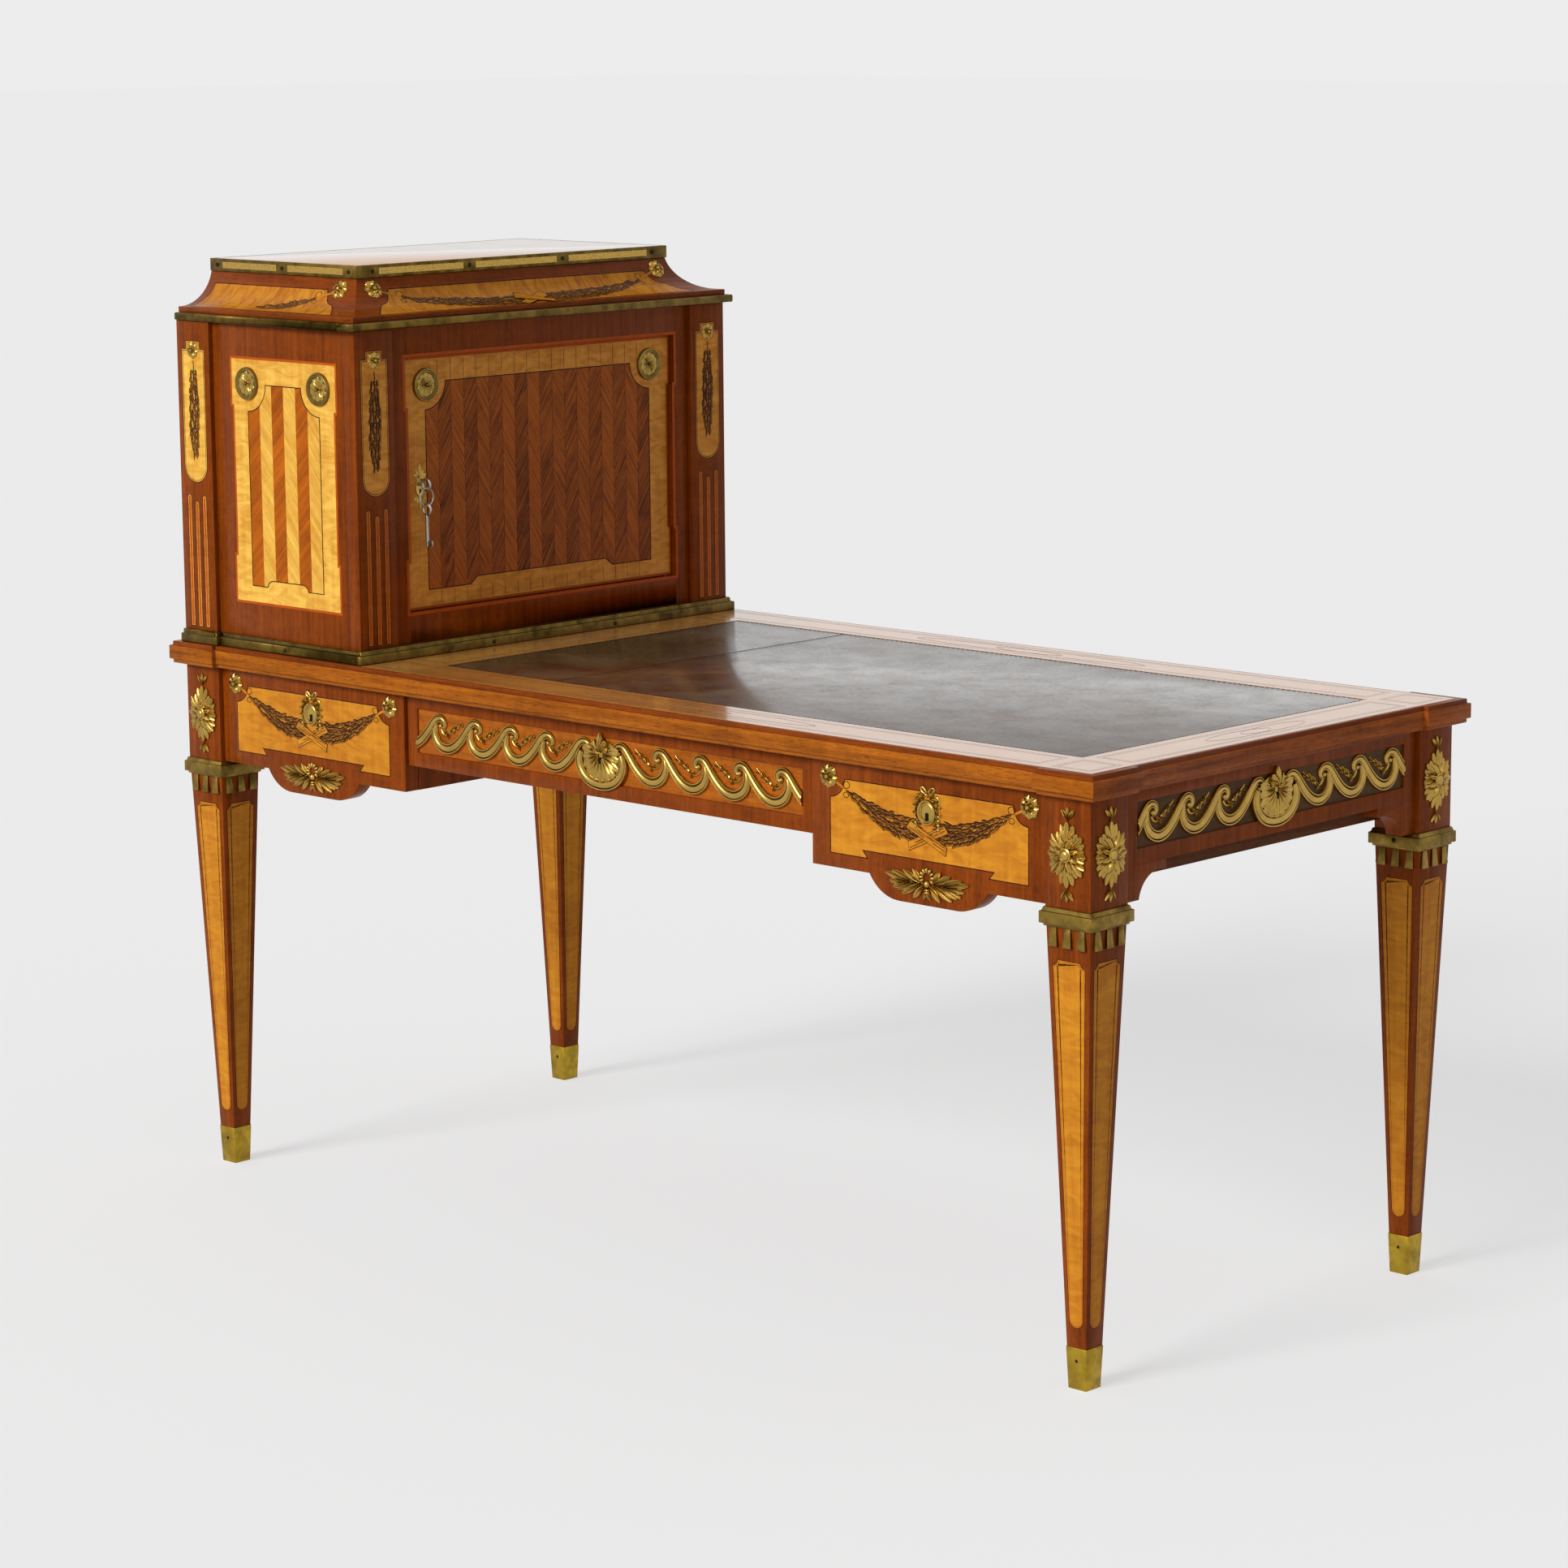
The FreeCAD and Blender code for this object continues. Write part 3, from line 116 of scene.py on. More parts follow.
class DeskSizes(bpy.types.PropertyGroup):
    """Sizes of the inlay, the mounts and the small roundings."""

    edge: length("Edge rounding", 0.0008, "Rounding of the wooden edges")
    thick_edge: length("Thick rounding", 0.0012, "Rounding of the top board and of the leg collars")
    small_edge: length("Small rounding", 0.0006, "Rounding of the leather, the drops and the foot caps")
    base_edge: length("Base rounding", 0.0018, "Rounding of the brass under the cabinet")
    cornice_edge: length("Cornice rounding", 0.0025, "Rounding of the cabinet's cornice")
    screw_edge: length("Screw rounding", 0.0003, "Rounding of the brass screws")
    key_edge: length("Key rounding", 0.0002, "Rounding of the keys and of their ring")
    joint: length("Veneered joint", 0.00015, "Rounding where veneer runs over a joint")
    brass_edge: length("Brass rounding", 0.0007, "Rounding of the brass edges")
    veneer: length("Veneer rise", 0.0002, "Inlay above the wood that it lies in")
    seat: length("Veneer seat", 0.0004, "Depth of the inlay in the wood")
    line: length("Stringing", 0.0012, "Width of the dark lines round the inlay")
    border_line: length("Border line", 0.0013, "Width of the lines in the border round the leather")
    drawer_half: length("Drawer panel", 0.1645, "Half the width of a side drawer's panel")
    drawer_notch: length("Drawer notch", 0.0245, "Hollow corner of a side drawer's panel")
    drawer_tab: length("Drawer tab", 0.0995, "Start of the tabs under a side drawer's panel")
    tab_slant: length("Tab slant", 0.008, "Undercut of a tab")
    swag_reach: length("Swag reach", 0.137, "Middle of a side drawer to the bow of its swag")
    swag_hang: length("Swag hang", 0.038, "How far a swag hangs down")
    side_panel: length("Side panel", 0.1147, "Half the width of the cabinet's side panel")
    side_ear: length("Side ear", 0.004, "Ears of the cabinet's side panel beyond its middle")
    red_border: length("Red border", 0.0035, "Red line round the panels of the cabinet's sides and door")
    stripe_half: length("Stripes", 0.0775, "Half the width of the striped field")
    field_notch: length("Field notch", 0.039, "Hollow corners of the striped and of the door's field")
    door_field: length("Door field", 0.223, "Half the width of the door's field")
    strip: length("Door strip", 0.02478, "Width of one strip of the door's field")
    post_panel: length("Post panel", 0.0253, "Half the width of the panel on a post or pilaster")
    flute: length("Flute", 0.0042, "Half the width of an inlaid flute")
    flute_pitch: length("Flute spacing", 0.0165, "Spacing of the inlaid flutes")
    wave_pitch: length("Wave spacing", 0.0713, "Spacing of the running scroll's crests")
    wave_first: length("First crest", 0.036, "Middle of the shell to the first crest")
    wave_stretch: FloatProperty(name="Wave stretch", description="Longer waves right of the middle shell",
                                default=1.035, subtype="FACTOR")
    ribbon: length("Scroll ribbon", 0.0078, "Half the width of the running scroll's ribbon")
    cove_radius: length("Cove radius", 0.062, "Radius of the hollow under the cabinet's top")
    cove_reach: length("Cove depth", 0.063, "How far the cove draws in")
    hood_rim: length("Hood edge", 0.008, "Upright edge under the cove")
    top_moulding: length("Top moulding", 0.006, "Height of the moulding above the top's fascia")
    top_break: length("Top break", 0.03, "Reach from the top's sides within which its ends begin")
    seam: length("Leather seam", -0.16, "Place of the seam across the leather")


TONES = (
    ("mahogany", "mahogany", (154, 72, 12), (94, 38, 5)),
    ("fascia", "top's edge", (196, 110, 24), (120, 58, 8)),
    # The top's ends take a darker copy of the fascia tone: painted shade.
    ("fascia_end", "top's ends", (186, 98, 36), (112, 52, 16)),
    ("panel_ground", "ground of the long panels", (196, 108, 26), (128, 62, 10)),
    ("end_ground", "ground of the end panels", (104, 70, 34), (66, 44, 20)),
    ("satinwood", "cabinet's satinwood", (255, 204, 92), (208, 134, 34)),
    ("drawer_satin", "satinwood below the top", (222, 148, 40), (178, 102, 24)),
    # The door's satinwood, also on the pilasters beside the door, where its darker tone is painted shade.
    ("door_satin", "door's satinwood", (246, 170, 72), (196, 120, 40)),
    ("stripe", "dark stripes", (204, 106, 14), (130, 60, 6)),
    ("tulipwood", "door's slanting strips", (196, 104, 36), (92, 40, 12)),
    ("border", "border round the leather", (244, 170, 80), (204, 126, 52)),
    ("border_line", "lines in that border", (120, 60, 26), (88, 42, 16)),
    ("stringing", "dark lines of the inlay", (40, 20, 12), (22, 12, 8)),
    ("red_line", "reddish lines of the inlay", (202, 92, 18), (166, 70, 14)),
    ("swag_leaf", "leaves of the swags", (80, 46, 16), (30, 16, 8)),
    ("leaf_light", "light halves of the leaves", (194, 122, 40), (104, 60, 18)),
    ("oak", "drawer linings", (122, 76, 48), (80, 46, 28)),
    ("leather", "writing leather", (60, 43, 26), (118, 92, 60)),
    ("brass", "old brass", (150, 122, 56), (72, 56, 22)),
    ("cabinet_brass", "cabinet's mouldings", (120, 96, 42), (54, 42, 16)),
    ("screw_brass", "screws and pins", (54, 42, 16), (28, 22, 12)),
    ("cap_brass", "foot caps", (186, 154, 52), (112, 86, 24)),
    ("gilt", "gilt mounts", (194, 158, 80), (76, 58, 22)),
    ("dark_gilt", "medallions' rims", (150, 124, 62), (60, 46, 20)),
    ("door_gilt", "door's gilt mounts", (172, 140, 72), (44, 34, 14)),
    ("steel", "keys", (190, 188, 180), (96, 90, 80)),
    # Keyholes and screw slots are dark plugs: painted shade in place of holes.
    ("keyhole", "keyholes", (40, 34, 26), (14, 10, 8)),
)


class DeskColours(bpy.types.PropertyGroup):
    """Main and second tone of each wood, metal and leather, from the table above."""


DeskColours.__annotations__ = {}
for key, what, main_tone, second_tone in TONES:
    DeskColours.__annotations__[key] = colour(what.capitalize(), main_tone, "Main tone of the " + what)
    DeskColours.__annotations__[key + "_second"] = colour(what.capitalize() + ", second", second_tone,
                                                          "Darker, duller or worn tone of the " + what)


def bearing(name, degrees, text):
    """An angle that a user may change."""
    return FloatProperty(name=name, description=text, default=math.radians(degrees), subtype="ANGLE")


class DeskStage(bpy.types.PropertyGroup):
    """Camera, floor and light."""

    camera_x: length("Camera X", 4.169, "Place of the camera")
    camera_y: length("Camera Y", -4.421, "Place of the camera")
    camera_z: length("Camera Z", 1.708, "Place of the camera")
    azimuth: bearing("Azimuth", 43.38, "Turn of the camera round the desk")
    elevation: bearing("Elevation", 10.18, "Camera above the horizon")
    roll: bearing("Roll", -0.454, "Tilt of the camera")
    lens: FloatProperty(name="Lens", description="Focal length for a 36 mm sensor", default=101.87,
                        unit="CAMERA")
    backdrop: colour("Backdrop", (237, 237, 237), "Plain background")
    ambient: FloatProperty(name="Ambient light", description="Strength of the even light", default=0.36)
    ambient_tilt: FloatProperty(name="Ambient tilt", description="How much more comes from the cabinet's end",
                                default=0.4, subtype="FACTOR")
    key_strength: FloatProperty(name="Key light", description="Strength of the main light", default=2.15)
    key_spread: bearing("Key spread", 24, "Apparent size of the main light")
    key_place: FloatVectorProperty(name="Key place", description="Where the main light stands",
                                   default=(-0.4, -4.9, 3.3), subtype="TRANSLATION")
    key_aim: FloatVectorProperty(name="Key aim", description="Where the main light points",
                                 default=(0.1, 0.0, 0.6), subtype="TRANSLATION")
    floor_half: length("Floor", 60.0, "Half the width of the floor")
    floor_glow: FloatProperty(name="Floor glow", description="Share of plain white in the seen floor",
                              default=0.55, subtype="FACTOR")
    samples: IntProperty(name="Shade rays", description="Rays that look for hollows in the castings",
                         default=6)


def sizes():
    return bpy.context.scene.desk_sizes


def tones(key):
    """Main and second tone of a wood, metal or leather."""
    colours = bpy.context.scene.desk_colours
    return tuple(getattr(colours, key)), tuple(getattr(colours, key + "_second"))


def span(low, high):
    """Middle and half length of a stretch."""
    return (low + high) / 2, (high - low) / 2


AXES = {
    "front": ((1, 0, 0), (0, 0, 1)),
    "right": ((0, 1, 0), (0, 0, 1)),
    "back": ((-1, 0, 0), (0, 0, 1)),
    "left": ((0, -1, 0), (0, 0, 1)),
    "top": ((1, 0, 0), (0, 1, 0)),
}


def facing(side, x, y, z):
    """Frame of a flat place on the desk: local X and Y lie in it and local Z points out of it."""
    across, up = (Vector(axis) for axis in AXES[side])
    matrix = Matrix((across, up, across.cross(up))).transposed().to_4x4()
    matrix.translation = (x, y, z)
    return matrix


def spot(u, v, lift=0.0, turn=0.0, scale=(1, 1, 1)):
    """A place in such a frame, turned in its plane and scaled."""
    return Matrix.Translation((u, v, lift)) @ Matrix.Rotation(turn, 4, "Z") @ Matrix.Diagonal((*scale, 1))


def long_panels():
    """Places of the sunk panels of the middle drawer and of the back, and their half sizes."""
    low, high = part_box("centre_drawer_front")
    level, half_tall = span(low.z, high.z + SUNK_DEPTH)
    half_long, face = span(low.x, high.x)[1], low.y + SUNK_DEPTH
    places = facing("front", 0, face, level), facing("back", 0, -face, level)
    return places, half_long - SUNK_MARGIN, half_tall - SUNK_MARGIN


def end_panels():
    """Places of the sunk panels of both ends, and their half sizes."""
    low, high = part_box("end_aprons")
    foot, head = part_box("leg_collars")[1].z + END_FOOT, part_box("centre_drawer_front")[1].z - END_HEAD
    level, half_tall = span(foot, head)
    places = facing("right", high.x - SUNK_DEPTH, 0, level), facing("left", low.x + SUNK_DEPTH, 0, level)
    return places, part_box("leg_back_right")[0].y - END_SIDE, half_tall


def post_middles():
    """Middle of the rear posts along X, and of the pilasters, which are as wide, along Y."""
    low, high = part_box("cabinet_sides")
    middle, half = span(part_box("cabinet_rear_posts")[0].x, low.x)
    return middle, high.y - half


def rounded(points):
    """An outline with its arcs drawn out: (u, v, r) starts one to the next point, anticlockwise if r > 0."""
    outline = []
    for index, point in enumerate(points):
        start = Vector(point[:2])
        outline.append(start)
        if len(point) == 2:
            continue
        end = Vector(points[(index + 1) % len(points)][:2])
        chord = end - start
        reach = math.sqrt(max(point[2] ** 2 - chord.length_squared / 4, 0))
        left = Vector((-chord.y, chord.x)).normalized()
        centre = (start + end) / 2 + left * math.copysign(reach, point[2])
        first = math.atan2(*(start - centre).yx)
        sweep = (math.atan2(*(end - centre).yx) - first) % FULL_TURN
        if point[2] < 0:
            sweep -= FULL_TURN
        steps = max(2, round(abs(sweep) / ARC_STEP))
        for step in range(1, steps):
            angle = first + sweep * step / steps
            outline.append(centre + Vector((math.cos(angle), math.sin(angle))) * abs(point[2]))
    return outline


def mirrored(points):
    """A closed outline from its right half, listed from the foot up; arcs turn the same way about."""
    left = []
    for index in range(len(points) - 1, -1, -1):
        bend = points[index - 1][2:] if index else ()
        left.append((-points[index][0], points[index][1], *bend))
    return list(points) + left


def rectangle(half_u, half_v):
    """Outline of a rectangle about its middle."""
    return mirrored([(half_u, -half_v), (half_u, half_v)])


def eared(half, ear, foot, low_ear, high_ear, head):
    """Outline that draws in between an ear below and an ear above on both sides."""
    waist = half - ear
    return mirrored([(half, foot), (half, low_ear), (waist, low_ear), (waist, high_ear), (half, high_ear),
                     (half, head)])


def flat_face(bm, outline, level):
    """One face with the given outline."""
    face = bm.faces.new([bm.verts.new((u, v, level)) for u, v in outline])
    face.normal_update()
    return face


def frame_in(bm, face, width, index):
    """Draw a face in from its outline; returns the ring that is left round it, painted."""
    ring = bmesh.ops.inset_region(bm, faces=[face], thickness=width, use_even_offset=True,
                                  use_boundary=True)["faces"]
    for item in ring:
        item.material_index = index
    return ring


def add_panel(bm, outline, matrix, bands):
    """A veneer panel: lines of given (width, material) inset from its outline, then the field's material."""
    face = flat_face(bm, outline, -sizes().seat)
    faces = [face]
    for width, index in bands[:-1]:
        faces += frame_in(bm, face, width, index)
    face.material_index = bands[-1]
    raise_faces(bm, faces, sizes().veneer + sizes().seat, matrix)


def raise_faces(bm, faces, rise, matrix):
    """Give flat faces their thickness and put them in place."""
    geometry = bmesh.ops.extrude_face_region(bm, geom=faces)["geom"]
    upper = [item for item in geometry if isinstance(item, bmesh.types.BMFace)]
    bmesh.ops.translate(bm, vec=(0, 0, rise), verts=list({vert for face in upper for vert in face.verts}))
    verts = {vert for face in upper for edge in face.edges for near in edge.link_faces for vert in near.verts}
    verts |= {vert for face in faces if face.is_valid for vert in face.verts}
    bmesh.ops.transform(bm, matrix=matrix, verts=list(verts))


def add_line(bm, points, width, matrix, index):
    """A thin inlaid line along an open path."""
    left, right = [], []
    for place, point in enumerate(points):
        before = points[max(place - 1, 0)]
        after = points[min(place + 1, len(points) - 1)]
        way = (Vector(after[:2]) - Vector(before[:2])).normalized()
        side = Vector((-way.y, way.x)) * width / 2
        left.append(Vector(point[:2]) + side)
        right.append(Vector(point[:2]) - side)
    add_panel(bm, right + left[::-1], matrix, [index])


def add_loop(bm, outline, width, matrix, index):
    """A thin inlaid line round a closed outline."""
    face = flat_face(bm, outline, -sizes().seat)
    ring = frame_in(bm, face, width, index)
    bmesh.ops.delete(bm, geom=[face], context="FACES_ONLY")
    raise_faces(bm, ring, sizes().veneer + sizes().seat, matrix)


def add_stripes(bm, right, place, line, cuts, paint):
    """A field with a dark line round it, from half its outline, cut into strips that a function paints."""
    outline = rounded(mirrored(right))
    lifted = place @ spot(0, 0, 2 * LIFT)
    add_loop(bm, outline, sizes().line, lifted @ spot(0, 0, 2 * LIFT), line)
    faces = split_across(bm, [flat_face(bm, outline, 0)], cuts)
    for face in faces:
        paint(face)
    raise_faces(bm, faces, sizes().veneer, lifted)
    return lifted


def split_across(bm, faces, places, axis=(1, 0, 0)):
    """Cut faces at several places along an axis before they are bent or painted in strips."""
    for place in places:
        geometry = set(faces)
        for face in faces:
            geometry.update(face.edges)
            geometry.update(face.verts)
        made = bmesh.ops.bisect_plane(bm, geom=list(geometry), dist=MERGE, plane_co=Vector(axis) * place,
                                      plane_no=axis)["geom"]
        faces = [item for item in made if isinstance(item, bmesh.types.BMFace)]
    return faces


def oval(half_u, half_v, count=40):
    """Points of an ellipse."""
    return [(half_u * math.cos(FULL_TURN * step / count), half_v * math.sin(FULL_TURN * step / count))
            for step in range(count)]


LEAF_OUTLINE = ((0, 0), (0.3, -0.5), (0.65, -0.4), (1, 0), (0.65, 0.4), (0.3, 0.5))
LEAF_LIGHT_HALF = ((0.16, 0.03), (0.6, -0.02), (0.93, 0.03), (0.66, 0.3), (0.36, 0.38))


def add_laurel(bm, place, draw, rows, reach, width, path):
    """Rows of inlaid leaves, each with a lighter half; path gives a row's place, way and half width."""
    leaf = bmesh.new()
    add_panel(leaf, LEAF_OUTLINE, Matrix(), [2])
    add_panel(leaf, LEAF_LIGHT_HALF, spot(0, 0, 0.6 * LIFT), [4])
    places = []
    for row in range(rows):
        places += leaf_places(draw, place, *path(row / (rows - 1)), reach, width, row)
    stamp(bm, pressed(leaf), places)


def leaf_places(draw, place, u, v, way, half, reach, width, row):
    """Places of one row of overlapping inlaid leaves across a swag that runs the given way."""
    count = max(1, round(2 * half / (width * 0.92)))
    normal = Vector((-math.sin(way), math.cos(way)))
    places = []
    for column in range(count):
        across = ((column + 0.5) / count - 0.5) * 2 * half + draw.uniform(-0.1, 0.1) * width
        turn = way + draw.uniform(-0.25, 0.25) + 0.35 * (across / half)
        size = (reach * draw.uniform(0.85, 1.15), width * draw.uniform(0.85, 1.1), 1)
        lift = 2 * LIFT + LIFT / 5 * ((row * 5 + column * 3) % 11)
        places.append(place @ spot(u + normal.x * across, v + normal.y * across, lift, turn, size))
    return places


def swag_bow(bm, place, start, bow):
    """A ribbon from a rosette to a bow of two loops, from which a swag hangs."""
    add_line(bm, [start, bow], 0.003, place, 3)
    for ring, shift in ((0.0065, 0.006), (0.005, -0.007)):
        add_loop(bm, oval(ring, ring * 0.8, 14), 0.0009, place @ spot(bow[0], bow[1] + shift), 2)


def pressed(bm, name="stamp"):
    """Keep a finished shape as a mesh."""
    mesh = bpy.data.meshes.new(name)
    bm.to_mesh(mesh)
    bm.free()
    return mesh


def placed(name, data):
    """A new object in the scene."""
    made = bpy.data.objects.new(name, data)
    bpy.context.scene.collection.objects.link(made)
    return made


def finish_piece(name, bm, materials, body="table", slot="mahogany", nodes=(), sharp=SOFT_ANGLE):
    """Turn a bmesh into a piece that rides on a body and stands for the given nodes."""
    bmesh.ops.recalc_face_normals(bm, faces=bm.faces)
    mesh = pressed(bm, name)
    mesh.shade_smooth()
    mesh.set_sharp_from_angle(angle=sharp)
    for item in materials:
        mesh.materials.append(material(item))
    piece = placed(name, mesh)
    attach(piece, body)
    if nodes:
        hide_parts(*nodes)


def home_of(node):
    """The body that carries a node, and its material slot."""
    bodies = frame["record"]["behaviour"]["bodies"].items()
    body = next(name for name, nodes in bodies if node in nodes)
    slot = next(part["material_slot"] for part in frame["record"]["subparts"] if part["node"] == node)
    return body, slot


def round_edges(bm, edges, rounding, segments=2):
    """Round edges without letting the roundings overlap."""
    bmesh.ops.bevel(bm, geom=edges, offset=rounding, segments=segments, profile=0.5, affect="EDGES",
                    material=-1, clamp_overlap=True)


def softened(node, materials, rounding, chooser=None, segments=2):
    """A copy of a node with its edges rounded, painted by a chooser of material from a face."""
    bm = bmesh.new()
    bm.from_mesh(frame["nodes"][node].data)
    bmesh.ops.remove_doubles(bm, verts=bm.verts, dist=MERGE)
    bmesh.ops.dissolve_limit(bm, angle_limit=math.radians(1), verts=bm.verts, edges=bm.edges)
    edges = [edge for edge in bm.edges if edge.is_manifold and edge.calc_face_angle(0) > SOFT_ANGLE]
    round_edges(bm, edges, rounding, segments)
    for face in bm.faces:
        face.material_index = chooser(face) if chooser else 0
    finish_piece(node + "_dressed", bm, materials, *home_of(node), (node,))


class Nodes:
    """A node tree under construction."""

    def __init__(self, tree):
        self.tree = tree

    def add(self, kind, inputs=None, **settings):
        """Add a node, set its settings, and give each named input a value or a link."""
        node = self.tree.nodes.new(kind)
        for key, value in settings.items():
            setattr(node, key, value)
        for key, value in (inputs or {}).items():
            socket = node.inputs[key]
            if isinstance(value, bpy.types.NodeSocket):
                self.tree.links.new(value, socket)
            else:
                socket.default_value = value
        return node

    def maths(self, operation, first, second, third=0.0):
        return self.add("ShaderNodeMath", {0: first, 1: second, 2: third}, operation=operation).outputs[0]

    def mix(self, factor, first, second, blend="MIX"):
        node = self.add("ShaderNodeMix", {0: factor, 6: first, 7: second}, data_type="RGBA", blend_type=blend)
        return node.outputs[2]

    def spread(self, value, low, high, to_low=0.0, to_high=1.0):
        """Map a value from one range to another, clamped."""
        return self.add("ShaderNodeMapRange", {"Value": value, "From Min": low, "From Max": high,
                                               "To Min": to_low, "To Max": to_high}).outputs[0]

    def noise(self, vector, scale, detail=3.0, rough=0.55, twist=0.0):
        return self.add("ShaderNodeTexNoise", {"Vector": vector, "Scale": scale, "Detail": detail,
                                               "Roughness": rough, "Distortion": twist}).outputs[0]

    def cells(self, vector, scale):
        return self.add("ShaderNodeTexVoronoi", {"Vector": vector, "Scale": scale}).outputs["Distance"]

    def turned(self, vector, turn, scale):
        """Coordinates turned, and drawn out along their axes."""
        return self.add("ShaderNodeMapping", {"Vector": vector, "Rotation": turn, "Scale": scale},
                        vector_type="TEXTURE").outputs[0]

    def close(self, shader):
        """Send a shader to the material's output."""
        self.add("ShaderNodeOutputMaterial", {"Surface": shader.outputs[0]})

    def surface(self, tint, rough, height, depth, strength, constants):
        """The material's shader with a bump, and its output."""
        bump = self.add("ShaderNodeBump", {"Strength": strength, "Distance": depth, "Height": height})
        self.close(self.add("ShaderNodeBsdfPrincipled", {
            "Base Color": tint, "Roughness": rough, "Normal": bump.outputs[0], **constants}))

    def seen(self):
        """1 for rays from the camera and for those that a mirror or a glass sends on."""
        rays = self.add("ShaderNodeLightPath").outputs
        seen = self.maths("MAXIMUM", rays["Is Camera Ray"], rays["Is Glossy Ray"])
        return self.maths("MAXIMUM", seen, rays["Is Transmission Ray"])


def new_group(name, inputs):
    """An empty shader node group with named inputs, which gives colour, roughness and height."""
    tree = bpy.data.node_groups.new(name, "ShaderNodeTree")
    for title, kind in inputs.items():
        tree.interface.new_socket(title, in_out="INPUT", socket_type="NodeSocket" + kind)
    for title, kind in (("Color", "Color"), ("Roughness", "Float"), ("Height", "Float")):
        tree.interface.new_socket(title, in_out="OUTPUT", socket_type="NodeSocket" + kind)
    nodes = Nodes(tree)
    return nodes, nodes.add("NodeGroupInput").outputs, nodes.add("NodeGroupOutput").inputs


PORE_TINT = (0.05, 0.015, 0.005, 1.0)


def wood_group():
    """Grain, cross figure and pores of a polished wood, on coordinates stretched along its grain."""
    if "Wood figure" in bpy.data.node_groups:
        return bpy.data.node_groups["Wood figure"]
    nodes, given, out = new_group("Wood figure", {
        "Grain": "Vector", "Place": "Vector", "Light": "Color", "Dark": "Color", "Streaks": "Float",
        "Ripple": "Float", "Pores": "Float", "Tone": "Float", "Gloss": "Float"})
    link = nodes.tree.links.new
    streaks = nodes.spread(nodes.noise(given["Grain"], 2.2, 5.0, 0.62, 0.5), 0.3, 0.7)
    ripple = nodes.spread(nodes.noise(given["Place"], 26.0, 2.0, 0.5, 1.2), 0.35, 0.65)
    cloud = nodes.spread(nodes.noise(given["Place"], 5.0, 2.0, 0.5, 0.3), 0.3, 0.7)
    amount = nodes.maths("MULTIPLY", streaks, given["Streaks"])
    amount = nodes.maths("MULTIPLY_ADD", ripple, given["Ripple"], amount)
    amount = nodes.maths("MULTIPLY_ADD", cloud, 0.22, amount)
    amount = nodes.maths("ADD", amount, nodes.maths("SUBTRACT", given["Tone"], 0.5))
    base = nodes.mix(nodes.spread(amount, 0.1, 0.95), given["Light"], given["Dark"])
    pores = nodes.spread(nodes.noise(given["Grain"], 30.0, 2.0, 0.6), 0.55, 0.66)
    pores = nodes.maths("MULTIPLY", pores, given["Pores"])
    filled = nodes.mix(nodes.maths("MULTIPLY", pores, 0.6), base, PORE_TINT, "MULTIPLY")
    link(filled, out["Color"])
    smear = nodes.spread(nodes.noise(given["Place"], 9.0, 4.0, 0.65), 0.3, 0.75, 0.0, 0.12)
    polish = nodes.maths("ADD", given["Gloss"], smear)
    link(nodes.maths("MULTIPLY_ADD", pores, 0.15, polish), out["Roughness"])
    link(nodes.maths("SUBTRACT", nodes.maths("MULTIPLY", streaks, 0.3), pores), out["Height"])
    return nodes.tree


def metal_group():
    """Tarnish and casting grain of a metal, with patina and painted shade in its hollows; Hollow is 0 in
    hollows and 1 on open faces.
    """
    if "Metal patina" in bpy.data.node_groups:
        return bpy.data.node_groups["Metal patina"]
    nodes, given, out = new_group("Metal patina", {
        "Place": "Vector", "Bright": "Color", "Dull": "Color", "Hollow": "Float", "Tarnish": "Float",
        "Polish": "Float"})
    link = nodes.tree.links.new
    blotch = nodes.spread(nodes.noise(given["Place"], 45.0, 4.0, 0.6, 0.4), 0.35, 0.7)
    grain = nodes.noise(given["Place"], 900.0, 2.0, 0.6)
    open_face = nodes.spread(given["Hollow"], 0.2, 0.75)
    # Ambient occlusion darkens and dulls the hollows: patina and painted shade.
    patina_and_shade = nodes.maths("SUBTRACT", 1.0, open_face)
    dull = nodes.maths("MAXIMUM", nodes.maths("MULTIPLY", blotch, given["Tarnish"]), patina_and_shade)
    link(nodes.mix(dull, given["Bright"], given["Dull"]), out["Color"])
    rough = nodes.maths("MULTIPLY_ADD", dull, 0.25, given["Polish"])
    link(nodes.maths("MULTIPLY_ADD", grain, 0.08, rough), out["Roughness"])
    link(nodes.maths("MULTIPLY_ADD", blotch, 0.4, grain), out["Height"])
    return nodes.tree


def empty_tree(owner):
    """The emptied node tree of a material or a world."""
    owner.use_nodes = True
    owner.node_tree.nodes.clear()
    return Nodes(owner.node_tree)


def start_material(name):
    """A material, its empty node tree and the coordinates of its object."""
    made = bpy.data.materials.new(name)
    nodes = empty_tree(made)
    return made, nodes, nodes.add("ShaderNodeTexCoord").outputs["Object"]


def wood_material(name, light, dark, grain, streaks, ripple, pores, gloss=0.2, coat=0.04, sheen=0.05,
                  along=0.5, across=0.022, toned=False):
    """A polished wood whose grain runs along the X axis of the given turn."""
    made, nodes, place = start_material(name)
    values = {"Grain": nodes.turned(place, grain, (along, across, across)),
              "Place": nodes.turned(place, grain, (0.35, 1.0, 1.0)), "Light": light, "Dark": dark,
              "Streaks": streaks, "Ripple": ripple, "Pores": pores, "Tone": 0.5, "Gloss": gloss}
    if toned:
        tone = nodes.add("ShaderNodeAttribute", attribute_name="tone").outputs["Fac"]
        apart = nodes.maths("MULTIPLY", tone, 60.0)
        shift = nodes.add("ShaderNodeVectorMath", {0: values["Grain"], 1: apart}, operation="ADD")
        values.update(Tone=tone, Grain=shift.outputs[0])
    wood = nodes.add("ShaderNodeGroup", values, node_tree=wood_group()).outputs
    nodes.surface(wood["Color"], wood["Roughness"], wood["Height"], 0.0003, 0.12,
                  {"Specular IOR Level": sheen, "Coat Weight": coat, "Coat Roughness": 0.1})
    return made


